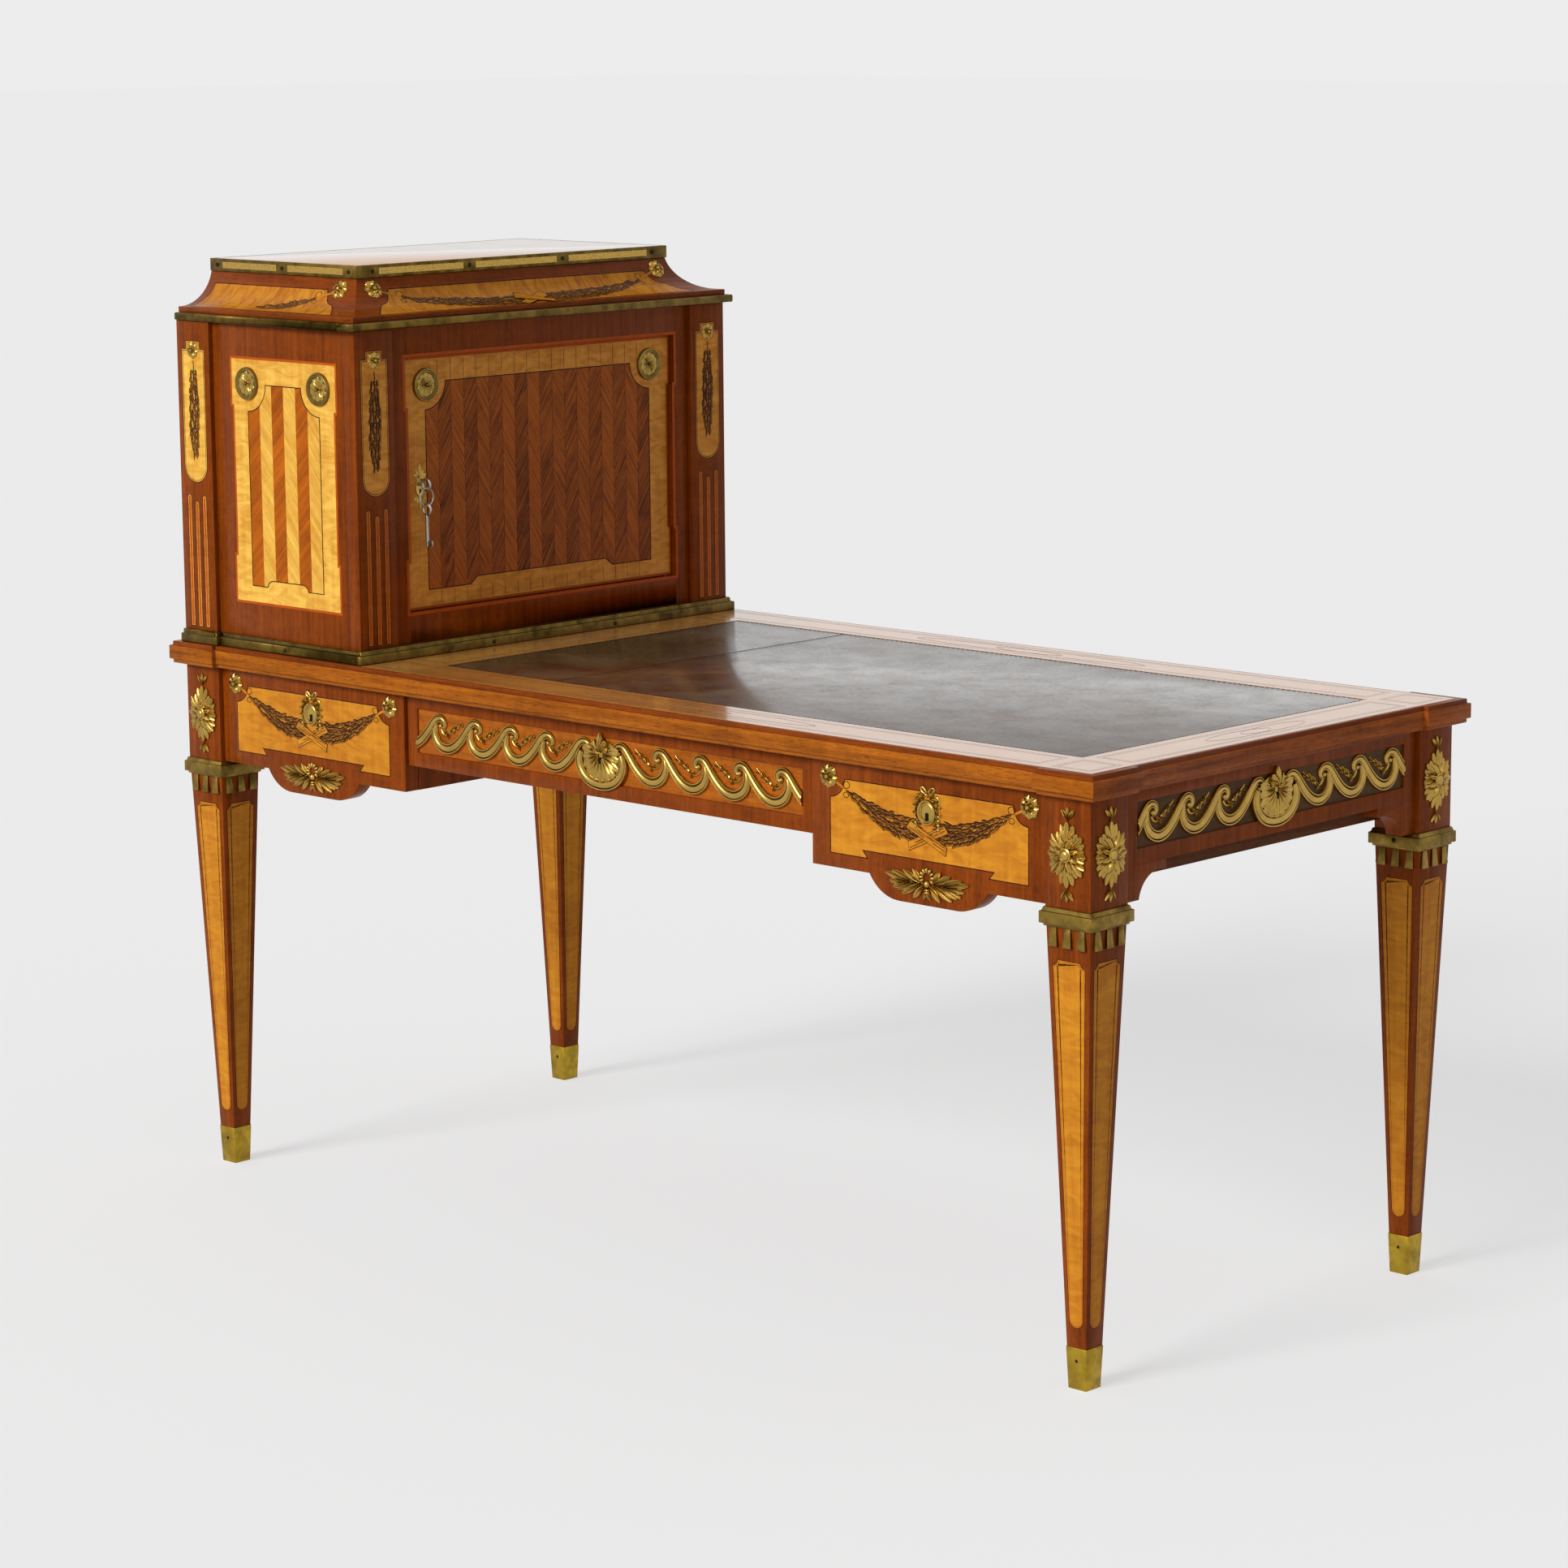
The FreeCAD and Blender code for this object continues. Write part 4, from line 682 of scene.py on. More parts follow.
def metal_material(name, bright, dull, tarnish, polish, reach):
    """A metal that is dull in its hollows, with patina and painted shade from ambient occlusion."""
    made, nodes, place = start_material(name)
    shade = nodes.add("ShaderNodeAmbientOcclusion", {"Distance": reach}, only_local=True,
                      samples=bpy.context.scene.desk_stage.samples)
    metal = nodes.add("ShaderNodeGroup", {
        "Place": place, "Hollow": shade.outputs["AO"], "Bright": bright, "Dull": dull, "Tarnish": tarnish,
        "Polish": polish}, node_tree=metal_group()).outputs
    nodes.surface(metal["Color"], metal["Roughness"], metal["Height"], 0.00012, 0.35, {"Metallic": 1.0})
    return made


def leather_material(name):
    """Dark leather with a fine grain, its polish mottled and worn off along scuffs and scratches."""
    made, nodes, place = start_material(name)
    scuffs = nodes.spread(nodes.noise(place, 7.0, 8.0, 0.72, 0.6), 0.46, 0.70)
    stretched = nodes.turned(place, (0, 0, 0.5), (0.22, 0.008, 0.02))
    scratches = nodes.spread(nodes.noise(stretched, 2.0, 3.0, 0.6), 0.64, 0.72)
    worn = nodes.maths("MAXIMUM", nodes.maths("MULTIPLY", scuffs, 0.5),
                       nodes.maths("MULTIPLY", scratches, 0.7))
    swell = nodes.noise(place, 14.0, 4.0, 0.6)
    height = nodes.maths("MULTIPLY_ADD", swell, 1.6, nodes.cells(place, 420.0))
    rough = nodes.maths("MULTIPLY_ADD", worn, 0.3, nodes.spread(swell, 0.3, 0.7, 0.26, 0.40))
    mottle = nodes.maths("ADD", nodes.noise(place, 150.0, 3.0, 0.7), nodes.noise(place, 20.0, 5.0, 0.65))
    polish = nodes.maths("MULTIPLY", nodes.spread(mottle, 0.80, 1.12, 0.5, 1.0),
                         nodes.maths("MULTIPLY_ADD", worn, -0.45, 1.0))
    nodes.surface(nodes.mix(worn, *tones("leather")), rough, height, 0.0005, 0.35,
                  {"Specular IOR Level": 0.9, "Coat Weight": polish, "Coat Roughness": 0.16})
    return made


def stipple_material(name):
    """Gilt brass beaten with small dots, as in the strips of the cabinet's rim."""
    made, nodes, place = start_material(name)
    dots = nodes.cells(place, 520.0)
    bright, dull = tones("gilt")
    tint = nodes.mix(nodes.spread(dots, 0.05, 0.42), dull, bright)
    nodes.surface(tint, nodes.spread(dots, 0.1, 0.6, 0.5, 0.34), dots, 0.0005, 0.8, {"Metallic": 1.0})
    return made


def diagonal(side, slant):
    """Grain turn that slants across a front or a right-hand face, in degrees."""
    return (0.0, -math.radians(slant), math.pi / 2 if side == "right" else 0.0)


# Each wood: its tones, the turn of its grain, and its streaks, ripple and pores.
WOODS = {
    "mahogany_upright": ("mahogany", ALONG_Z, 0.55, 0.12, 0.8),
    "mahogany_long": ("mahogany", ALONG_X, 0.55, 0.12, 0.8),
    "mahogany_deep": ("mahogany", ALONG_Y, 0.55, 0.12, 0.8),
    "fascia_long": ("fascia", ALONG_X, 0.65, 0.1, 1.0),
    # Fascia of the top's ends, darker than the front's as painted shade.
    "fascia_deep": ("fascia_end", ALONG_Y, 0.7, 0.1, 1.0),
    "ground_panel": ("panel_ground", ALONG_X, 0.5, 0.2, 0.7),
    "end_ground": ("end_ground", ALONG_Y, 0.4, 0.25, 0.4),
    "satin_upright": ("satinwood", ALONG_Z, 0.25, 0.42, 0.12),
    "drawer_satin": ("drawer_satin", ALONG_Z, 0.28, 0.4, 0.15),
    "leg_satin": ("drawer_satin", ALONG_Z, 0.35, 0.35, 0.2),
    "door_satin": ("door_satin", ALONG_Z, 0.3, 0.5, 0.15),
    "cove_satin_long": ("drawer_satin", ALONG_X, 0.3, 0.6, 0.2),
    "cove_satin_deep": ("drawer_satin", ALONG_Y, 0.3, 0.6, 0.2),
    "stripe_dark": ("stripe", diagonal("front", 45), 0.7, 0.1, 0.3),
    "stripe_light": ("satinwood", diagonal("front", -50), 0.7, 0.1, 0.5),
    "strip_rising": ("tulipwood", diagonal("right", 58), 0.95, 0.1, 0.5),
    "strip_falling": ("tulipwood", diagonal("right", -58), 0.95, 0.1, 0.5),
    "border_long": ("border", ALONG_X, 0.45, 0.15, 0.2),
    "border_deep": ("border", ALONG_Y, 0.45, 0.15, 0.2),
    "border_line": ("border_line", ALONG_X, 0.45, 0.15, 0.2),
    "cabinet_top": ("border", ALONG_Y, 0.45, 0.15, 0.05),
    "oak": ("oak", ALONG_Y, 0.6, 0.1, 0.7),
    "stringing": ("stringing", ALONG_X, 0.5, 0.1, 0.2),
    "red_line": ("red_line", ALONG_X, 0.5, 0.1, 0.2),
    "swag_leaf": ("swag_leaf", ALONG_X, 0.5, 0.3, 0.2),
    "ribbon_wood": ("drawer_satin", ALONG_X, 0.6, 0.2, 0.2),
    "leaf_light": ("leaf_light", ALONG_X, 0.5, 0.4, 0.2),
}
NARROW_STRIP = {"along": 0.16, "across": 0.005, "toned": True}
VARNISHED = {"coat": 1.0, "sheen": 0.6}
POLISH = {
    "oak": {"gloss": 0.5, "coat": 0.0}, "cabinet_top": {"gloss": 0.06, "coat": 1.0, "sheen": 1.0},
    "border_long": VARNISHED, "border_deep": VARNISHED, "border_line": VARNISHED,
    "strip_rising": NARROW_STRIP, "strip_falling": NARROW_STRIP,
}

# Each metal: its tones, tarnish, roughness where it is bright, and how wide a hollow darkens it with patina
# and painted shade.
METALS = {
    "old_brass": ("brass", 0.8, 0.34, 0.006),
    "cabinet_brass": ("cabinet_brass", 0.8, 0.34, 0.006),
    "screw_brass": ("screw_brass", 0.6, 0.4, 0.004),
    "cap_brass": ("cap_brass", 0.7, 0.3, 0.006),
    "gilt": ("gilt", 0.3, 0.2, 0.004),
    "dark_gilt": ("dark_gilt", 0.6, 0.3, 0.006),
    "door_gilt": ("door_gilt", 0.3, 0.24, 0.003),
    "works_brass": ("brass", 0.3, 0.3, 0.006),
    "steel": ("steel", 0.5, 0.25, 0.004),
    # Dark plugs for keyholes and screw slots: painted shade in place of holes.
    "keyhole": ("keyhole", 0.5, 0.6, 0.004),
}


def make_material(name):
    """Build one of the desk's finishes by its name."""
    if name == "leather":
        return leather_material(name)
    if name == "stippled_gilt":
        return stipple_material(name)
    if name in METALS:
        key, *looks = METALS[name]
        return metal_material(name, *tones(key), *looks)
    key, *looks = WOODS[name]
    return wood_material(name, *tones(key), *looks, **POLISH.get(name, {}))


def material(name):
    """A finish by name, built once."""
    return bpy.data.materials.get(name) or make_material(name)


def paint_nodes(finish, *names):
    """Give nodes that keep their own shape a finish."""
    for name in names:
        slots = frame["nodes"][name].data.materials
        slots.clear()
        slots.append(material(finish))


class DESK_OT_case(bpy.types.Operator):
    """Round and polish the plain boards of the table and of the cabinet"""

    bl_idname = "desk.case"
    bl_label = "Boards"

    def execute(self, context):
        edge = sizes().edge
        upright = [name for name, _, _ in CORNERS] + [name + "_drawer_front" for name in DRAWERS]
        upright += ["back_apron", "cabinet_sides", "cabinet_rear_posts", "cabinet_pilasters", "door_frame",
                    "door_panel", "cabinet_back"]
        for name in upright:
            softened(name, ["mahogany_upright"], edge)
        softened("end_aprons", ["mahogany_upright"], sizes().joint)
        self.back_fillet()
        softened("cabinet_top", ["cabinet_top"], edge)
        softened("cove_hood", ["mahogany_long", "mahogany_deep"], edge,
                 lambda face: 1 if abs(face.normal.x) > abs(face.normal.y) else 0)
        paint_nodes("mahogany_upright", "knee_partitions")
        paint_nodes("mahogany_deep", "cabinet_floor", "cabinet_ceiling", "cabinet_shelf", "shelf_battens")
        paint_nodes("oak", "drawer_runners", *[name + "_drawer_box" for name in DRAWERS])
        paint_nodes("works_brass", "door_lock", "door_bolt", "door_pivots",
                    *[name + part for name in DRAWERS for part in ("_drawer_lock", "_drawer_bolt")])
        return {"FINISHED"}

    def back_fillet(self):
        """A strip that closes the cabinet's back between the cornice's two ends."""
        low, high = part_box("cornice_moulding")
        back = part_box("cabinet_back")[1]
        thick = back.x - low.x
        level, half_tall = span(low.z, high.z)
        place = Matrix.Translation((low.x + thick / 2, 0, level))
        bm = bmesh.new()
        size = Matrix.Diagonal((thick, 2 * back.y, 2 * half_tall, 1))
        bmesh.ops.create_cube(bm, size=1, matrix=place @ size)
        round_edges(bm, bm.edges[:], sizes().edge)
        finish_piece("cornice_back_fillet", bm, ["mahogany_deep"])


class DESK_OT_top(bpy.types.Operator):
    """Mould the table top's edge and lay its veneered border and leather"""

    bl_idname = "desk.top"
    bl_label = "Table top"

    def execute(self, context):
        self.board()
        self.leather()
        self.border()
        return {"FINISHED"}

    def board(self):
        """The board with its golden fascia under a mahogany moulding, grain along each side; the ends' fascia
        is darker as painted shade.
        """
        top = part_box("top_board")[1]
        fascia_head = top.z - sizes().top_moulding
        fascia_side = top.y - sizes().top_break

        def along(face):
            middle = face.calc_center_median()
            deep = abs(middle.y) < fascia_side or abs(face.normal.x) > abs(face.normal.y)
            if abs(face.normal.z) > 0.9:
                return 2
            return deep + (2 if middle.z > fascia_head else 0)

        finishes = ["fascia_long", "fascia_deep", "mahogany_long", "mahogany_deep"]
        softened("top_board", finishes, sizes().thick_edge, along, segments=3)

    def leather(self):
        """The leather with softened edges, a seam and a tooled line of small marks."""
        low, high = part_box("writing_leather")
        softened("writing_leather", ["leather"], sizes().small_edge)
        place = facing("top", 0, 0, high.z)
        seam, seam_end, seam_width = sizes().seam, 0.004, 0.0008
        bm = bmesh.new()
        add_line(bm, [(seam, low.y + seam_end), (seam, high.y - seam_end)], seam_width, place, 0)
        margin, mark, pitch, width = 0.0035, 0.006, 0.009, 0.0016
        for x_edge, y_edge in ((low.x + margin, margin - high.y), (high.x - margin, high.y - margin)):
            for step in range(int((high.x - low.x - 2 * margin) / pitch)):
                x = low.x + margin + step * pitch
                add_line(bm, [(x, y_edge), (x + mark, y_edge)], width, place, 0)
            for step in range(int((high.y - low.y - 2 * margin) / pitch)):
                y = low.y + margin + step * pitch
                add_line(bm, [(x_edge, y), (x_edge, y + mark)], width, place, 0)
        finish_piece("leather_tooling", bm, ["stringing"], "table", "writing_leather")

    def border(self):
        """Veneered strips with paired lines and a long interlaced oval on each side, and corner squares."""
        leather_low, leather_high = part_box("writing_leather")
        board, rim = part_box("top_board")[1], 0.016
        square_lines, strip_lines = (0.010, 0.015), (0.012, 0.017)
        oval_share, oval_gap, oval_shift = 0.22, 0.025, 0.55
        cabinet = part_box("base_moulding")[1].x
        place = facing("top", 0, 0, leather_high.z)
        long_x, half_length = span(cabinet, leather_high.x)
        long_y, half_long = span(leather_high.y, board.y - rim)
        deep_x, half_deep = span(leather_high.x, board.x - rim)
        cabinet_x, half_cabinet = span(cabinet, leather_low.x)
        bm = bmesh.new()
        strips = []
        for side in (-1, 1):
            strips.append((long_x, long_y * side, half_length, half_long, 0))
            self.ruled(bm, place @ spot(deep_x, long_y * side), half_deep, half_long, 1, square_lines)
        strips.append((deep_x, 0, half_deep, leather_high.y, 1))
        strips.append((cabinet_x, 0, half_cabinet, leather_high.y, 1))
        for x, y, half_x, half_y, grain in strips:
            middle = place @ spot(x, y)
            self.ruled(bm, middle, half_x, half_y, grain, strip_lines)
            reach, thin = max(half_x, half_y) * oval_share, min(half_x, half_y) - oval_gap
            for shift in (-oval_shift * reach, oval_shift * reach):
                ring, centre = oval(thin, reach), spot(0, shift, 2 * LIFT)
                if half_x > half_y:
                    ring, centre = oval(reach, thin), spot(shift, 0, 2 * LIFT)
                add_loop(bm, ring, sizes().border_line, middle @ centre, 2)
        finish_piece("top_border", bm, ["border_long", "border_deep", "border_line"])

    def ruled(self, bm, place, half_x, half_y, grain, margins):
        """A veneered rectangle with lines at the given margins."""
        add_panel(bm, rectangle(half_x, half_y), place, [grain])
        for margin in margins:
            outline = rectangle(half_x - margin, half_y - margin)
            add_loop(bm, outline, sizes().border_line, place @ spot(0, 0, LIFT), 2)


PIN_PROFILE = ((0.0022, 0.0002), (0.0015, 0.0005), (0, 0.0006))
SCREW_PROFILE = ((0.0034, 0.0003), (0.0026, 0.0009), (0, 0.0011))


class DESK_OT_legs(bpy.types.Operator):
    """Inlay the tapered legs and round their brass collars, drops and caps"""

    bl_idname = "desk.legs"
    bl_label = "Legs"

    def execute(self, context):
        for name, _, _ in CORNERS:
            self.inlay(name)
        softened("leg_collars", ["old_brass"], sizes().thick_edge, segments=3)
        softened("collar_drops", ["old_brass"], sizes().small_edge)
        softened("foot_caps", ["cap_brass"], sizes().small_edge)
        self.pins()
        return {"FINISHED"}

    def pins(self):
        """A pin in front and back of each foot cap, and a slotted screw in each collar's inner side."""
        cap, (collar_low, collar_high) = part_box("foot_caps")[1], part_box("leg_collars")
        collar_level = (collar_low.z + collar_high.z) / 2
        low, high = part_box("leg_back_left")
        leg_y = (low.y + high.y) / 2
        foot_half, head_half, collar_half = 0.0142, cap.y - leg_y, collar_high.y - leg_y
        pin_level, slot_half, slot_width = 0.037, 0.0027, 0.0009
        tilt = Matrix.Rotation(math.atan((head_half - foot_half) / cap.z), 4, "X")
        out = foot_half + (head_half - foot_half) * pin_level / cap.z
        bm = bmesh.new()
        for name, _, sign_y in CORNERS:
            low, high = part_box(name)
            x, y = (low.x + high.x) / 2, (low.y + high.y) / 2
            for side, sign in FLANKS:
                turned_ring(bm, facing(side, x, y + out * sign, pin_level) @ tilt, PIN_PROFILE, 14)
            place = facing("front" if sign_y > 0 else "back", x, y - collar_half * sign_y, collar_level)
            turned_ring(bm, place, SCREW_PROFILE, 16)
            # The screw's slot is a dark line: painted shade in place of a groove.
            add_line(bm, [(0, -slot_half), (0, slot_half)], slot_width, place @ spot(0, 0, 10 * LIFT), 1)
        finish_piece("leg_pins", bm, ["screw_brass", "keyhole"], "table", "aged_brass")

    def inlay(self, name):
        """A long satinwood panel on each face of a leg, with a shouldered top and a round foot."""
        low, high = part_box(name)
        cap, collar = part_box("foot_caps")[1].z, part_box("leg_collars")[0].z
        foot_half, head_half, notch = 0.0155, 0.0345, 0.0075
        slope = (head_half - foot_half) / (collar - cap)
        start, under_drops, foot_side, head_side = 0.036, 0.016, 0.006, 0.0075
        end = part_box("collar_drops")[0].z - under_drops - cap
        wide_foot = foot_half + slope * start - foot_side
        wide_head = foot_half + slope * end - head_side
        outline = rounded([
            (-wide_foot, start, wide_foot), (wide_foot, start), (wide_head, end - notch, -notch),
            (wide_head - notch, end), (notch - wide_head, end, -notch), (-wide_head, end - notch)])
        axis = Matrix.Translation(((low.x + high.x) / 2, (low.y + high.y) / 2, 0))
        face = facing("front", 0, -foot_half, cap) @ Matrix.Rotation(math.atan(slope), 4, "X")
        bm = bmesh.new()
        for turn in range(4):
            place = axis @ Matrix.Rotation(turn * math.pi / 2, 4, "Z") @ face
            add_panel(bm, outline, place, [(0.0007, 0), (0.0013, 2), (0.0006, 1), 2])
        finish_piece(name + "_inlay", bm, ["stringing", "red_line", "leg_satin"])


class DESK_OT_drawer_inlay(bpy.types.Operator):
    """Inlay the side drawers and the back boards with satinwood and swags"""

    bl_idname = "desk.drawer_inlay"
    bl_label = "Drawer inlay"

    def execute(self, context):
        for name in ("left", "right"):
            low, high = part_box(name + "_drawer_front")
            bm = self.panel(facing("front", (low.x + high.x) / 2, low.y, high.z))
            self.finish(name + "_drawer_inlay", bm, name + "_drawer")
            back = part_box("back_apron")[1].y
            bm = self.panel(facing("back", (low.x + high.x) / 2, back, high.z))
            self.finish(name + "_back_inlay", bm, "table")
        self.grounds()
        return {"FINISHED"}

    def finish(self, name, bm, body):
        finishes = ["stringing", "drawer_satin", "swag_leaf", "ribbon_wood", "leaf_light"]
        finish_piece(name, bm, finishes, body)

    def panel(self, place):
        """Satinwood panel with hollow upper corners and dovetail tabs, and its swag."""
        half, notch = sizes().drawer_half, sizes().drawer_notch
        tab, slant = sizes().drawer_tab, sizes().tab_slant
        head, tab_foot, foot = -0.0205, -0.1185, -0.1091
        right = [(tab + slant, foot), (tab, tab_foot), (half, tab_foot), (half, head - notch, -notch),
                 (half - notch, head)]
        bm = bmesh.new()
        add_panel(bm, rounded(mirrored(right)), place, [(sizes().line, 0), 1])
        draw = random.Random(7)
        for sign in (1, -1):
            self.swag(bm, place @ Matrix.Diagonal((sign, 1, 1, 1)), draw)
        for turn, lift in ((0.42, 0.0005), (-0.42, 0.0009)):
            self.ribbon(bm, place @ spot(0, -0.079, lift, turn), 0.036, 0.0058)
        return bm

    def swag(self, bm, place, draw):
        """Half a laurel swag from a bow beside a rosette to the crossing ribbons."""
        hang, bow, end = sizes().swag_hang, (sizes().swag_reach, -0.034), 0.020
        swag_bow(bm, place @ spot(0, 0, 2 * LIFT), (bow[0] + 0.022, -0.024), bow)

        def path(share):
            turn = share * math.pi / 2
            v = bow[1] - hang * math.sin(turn) ** 0.9
            slope = -hang * 0.9 * math.cos(turn) * (math.pi / 2) / (bow[0] - end)
            half = 0.0022 + 0.0105 * math.sin(min(share * 1.3, 1.0) * math.pi / 2)
            return bow[0] - (bow[0] - end) * share, v, math.atan2(slope, -1.0), half

        add_laurel(bm, place, draw, 30, 0.0125, 0.0050, path)

    def ribbon(self, bm, place, half, wide):
        """One of two crossing ribbons with dark edges and folds."""
        add_panel(bm, mirrored([(half, -wide), (half * 0.92, wide)]), place, [(0.0007, 2), 3])
        for level, start, end in ((-0.45, -0.9, -0.1), (0.1, -0.6, 0.3), (0.45, 0.0, 0.85), (-0.2, 0.3, 0.9)):
            ends = [(half * start, wide * level), (half * end, wide * (level + 0.12))]
            add_line(bm, ends, 0.0009, place @ spot(0, 0, LIFT), 2)

    def grounds(self):
        """Golden ground of the sunk panels of the long sides, and a darker one of the ends."""
        places, half_u, half_v = long_panels()
        riders = (("centre_drawer_front", "centre_drawer"), ("back_apron", "table"))
        for place, (node, body) in zip(places, riders):
            bm = bmesh.new()
            add_panel(bm, rectangle(half_u - PLAY, half_v - PLAY), place, [0])
            finish_piece(node + "_ground", bm, ["ground_panel"], body)
        places, half_u, half_v = end_panels()
        bm = bmesh.new()
        for place in places:
            add_panel(bm, rectangle(half_u - PLAY, half_v - PLAY), place, [0])
        finish_piece("end_grounds", bm, ["end_ground"])


class DESK_OT_cabinet_inlay(bpy.types.Operator):
    """Inlay the cabinet's sides, posts and pilasters"""

    bl_idname = "desk.cabinet_inlay"
    bl_label = "Cabinet inlay"

    def execute(self, context):
        side_low, side_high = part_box("cabinet_sides")
        post_face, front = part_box("cabinet_rear_posts")[1].y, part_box("cabinet_pilasters")[1].x
        post_x, pilaster_y = post_middles()
        middle = (side_low.x + front) / 2
        for side, sign in FLANKS:
            bm = bmesh.new()
            self.striped(bm, facing(side, middle, side_high.y * sign, side_low.z))
            finishes = ["red_line", "satin_upright", "stringing", "stripe_dark", "stripe_light"]
            finish_piece(side + "_side_inlay", bm, finishes)
            post = facing(side, post_x, post_face * sign, side_low.z)
            self.pendant(side + "_post_inlay", post, "satin_upright")
            # The pilasters face the door's side: the door's darker satinwood on them is painted shade.
            pilaster = facing("right", front, pilaster_y * sign, side_low.z)
            self.pendant(side + "_pilaster_inlay", pilaster, "door_satin")
        return {"FINISHED"}

    def striped(self, bm, place):
        """Eared satinwood panel with a red line, and a striped field with hollow corners."""
        half, ear = sizes().side_panel, sizes().side_ear
        foot, head, low_ear, high_ear = 0.066, 0.419, 0.137, 0.347
        outline = eared(half, ear, foot, low_ear, high_ear, head)
        add_panel(bm, outline, place, [(sizes().red_border, 0), 1])
        wide, notch, third = sizes().stripe_half, sizes().field_notch, sizes().stripe_half / 3
        field_foot, field_head, arch = 0.092, 0.381, 0.0095
        right = [(0.032, field_foot + arch, -0.0125), (0.044, field_foot), (wide, field_foot),
                 (wide, field_head - notch, -notch), (wide - notch, field_head)]

        def paint(face):
            stripe = int((face.calc_center_median().x + wide) / third)
            face.material_index = 4 if stripe % 2 else 3

        add_stripes(bm, right, place, 2, [third * (step - 3) for step in range(1, 6)], paint)

    def pendant(self, name, place, satin):
        """Round-footed satinwood panel with a leaf pendant, over three flutes."""
        half = sizes().post_panel
        step, shoulder, head, foot = 0.0155, 0.425, 0.4365, 0.233
        right = [(half, foot + half), (half, shoulder), (step, shoulder), (step, head)]
        outline = rounded([(-half, foot + half, half), *right, *[(-u, v) for u, v in reversed(right[1:])]])
        bm = bmesh.new()
        add_panel(bm, outline, place, [(0.0009, 0), (0.0013, 1), (0.0009, 0), 1])
        add_line(bm, [(0, 0.408), (0.001, 0.400), (0, 0.388)], 0.0016, place @ spot(0, 0, LIFT), 2)

        def path(share):
            half = 0.0030 + 0.0062 * math.sin(math.pi * (0.1 + 0.85 * share)) ** 0.7
            return 0, 0.396 - 0.118 * share, -math.pi / 2, half

        add_laurel(bm, place, random.Random(11), 24, 0.0120, 0.0048, path)
        wide, flute_foot = sizes().flute, 0.024
        for column, top in ((-1, 0.215), (0, 0.206), (1, 0.215)):
            flute = rounded([(wide, flute_foot), (wide, top - wide, wide), (-wide, top - wide),
                             (-wide, flute_foot)])
            flute_place = place @ spot(column * sizes().flute_pitch, 0)
            add_panel(bm, flute, flute_place, [(0.0008, 0), (0.0009, 1), 3])
        finishes = ["stringing", satin, "swag_leaf", "red_line", "leaf_light"]
        finish_piece(name, bm, finishes)


STRIPS = 18
DOOR_EAR = 0.004
EAR_TALL = 0.0742


class DESK_OT_door(bpy.types.Operator):
    """Inlay the door with a satinwood border and slanting strips, and line its opening"""

    bl_idname = "desk.door"
    bl_label = "Door"

    def execute(self, context):
        low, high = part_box("door_panel")
        place = facing("right", high.x, 0, (low.z + high.z) / 2)
        bm = bmesh.new()
        tone = bm.faces.layers.float.new("tone")
        joints = [sizes().strip * (step - STRIPS / 2) for step in range(1, STRIPS)]
        self.border(bm, place, high.y - PLAY, (high.z - low.z) / 2 - PLAY, joints)
        self.field(bm, place, tone, joints)
        finishes = ["door_satin", "stringing", "strip_rising", "strip_falling", "red_line"]
        finish_piece("door_inlay", bm, finishes, "door")
        self.bead()
        return {"FINISHED"}

    def border(self, bm, place, wide, tall, joints):
        """Satinwood over the whole door, eared like its opening, with joint lines above and below."""
        outline = eared(wide, DOOR_EAR, -tall, EAR_TALL - tall, tall - EAR_TALL, tall)
        add_panel(bm, outline, place, [(sizes().red_border, 4), 0])
        for u in joints:
            for start, end in ((0.1445, tall - 0.005), (0.005 - tall, -0.1545)):
                add_line(bm, [(u, start), (u, end)], 0.0006, place @ spot(0, 0, LIFT), 1)

    def field(self, bm, place, tone, joints):
        """Slanting strips in a field with hollow upper corners and a raised foot."""
        wide, notch = sizes().door_field, sizes().field_notch
        head, foot, rise = 0.143, -0.1525, 0.0105
        right = [(0.128, foot + rise), (0.142, foot), (wide, foot), (wide, head - notch, -notch),
                 (wide - notch, head)]
        draw = random.Random(3)
        shades = [draw.uniform(0.04, 0.22) + 0.26 * (step % 2) for step in range(STRIPS)]

        def paint(face):
            strip = int(face.calc_center_median().x / sizes().strip + STRIPS / 2)
            face.material_index = 2 if strip % 2 else 3
            face[tone] = shades[min(max(strip, 0), STRIPS - 1)]

        lifted = add_stripes(bm, right, place, 1, joints, paint)
        for u in joints:
            top = head - 0.002 if abs(u) < wide - notch else head - notch
            bottom = foot + rise if abs(u) < 0.135 else foot
            add_line(bm, [(u, bottom + 0.002), (u, top)], 0.0004, lifted @ spot(0, 0, LIFT), 1)

    def bead(self):
        """A thin red moulding round the eared opening of the door frame."""
        low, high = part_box("door_panel")
        gap, width = 0.0008, 0.0045
        level, tall = span(low.z, high.z)
        tall += gap + width
        ear = EAR_TALL + gap + width - tall
        outline = eared(high.y + gap + width, DOOR_EAR, -tall, ear, -ear, tall)
        bm = bmesh.new()
        add_loop(bm, outline, width, facing("right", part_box("door_frame")[1].x, 0, level), 0)
        finish_piece("door_opening_bead", bm, ["red_line"])


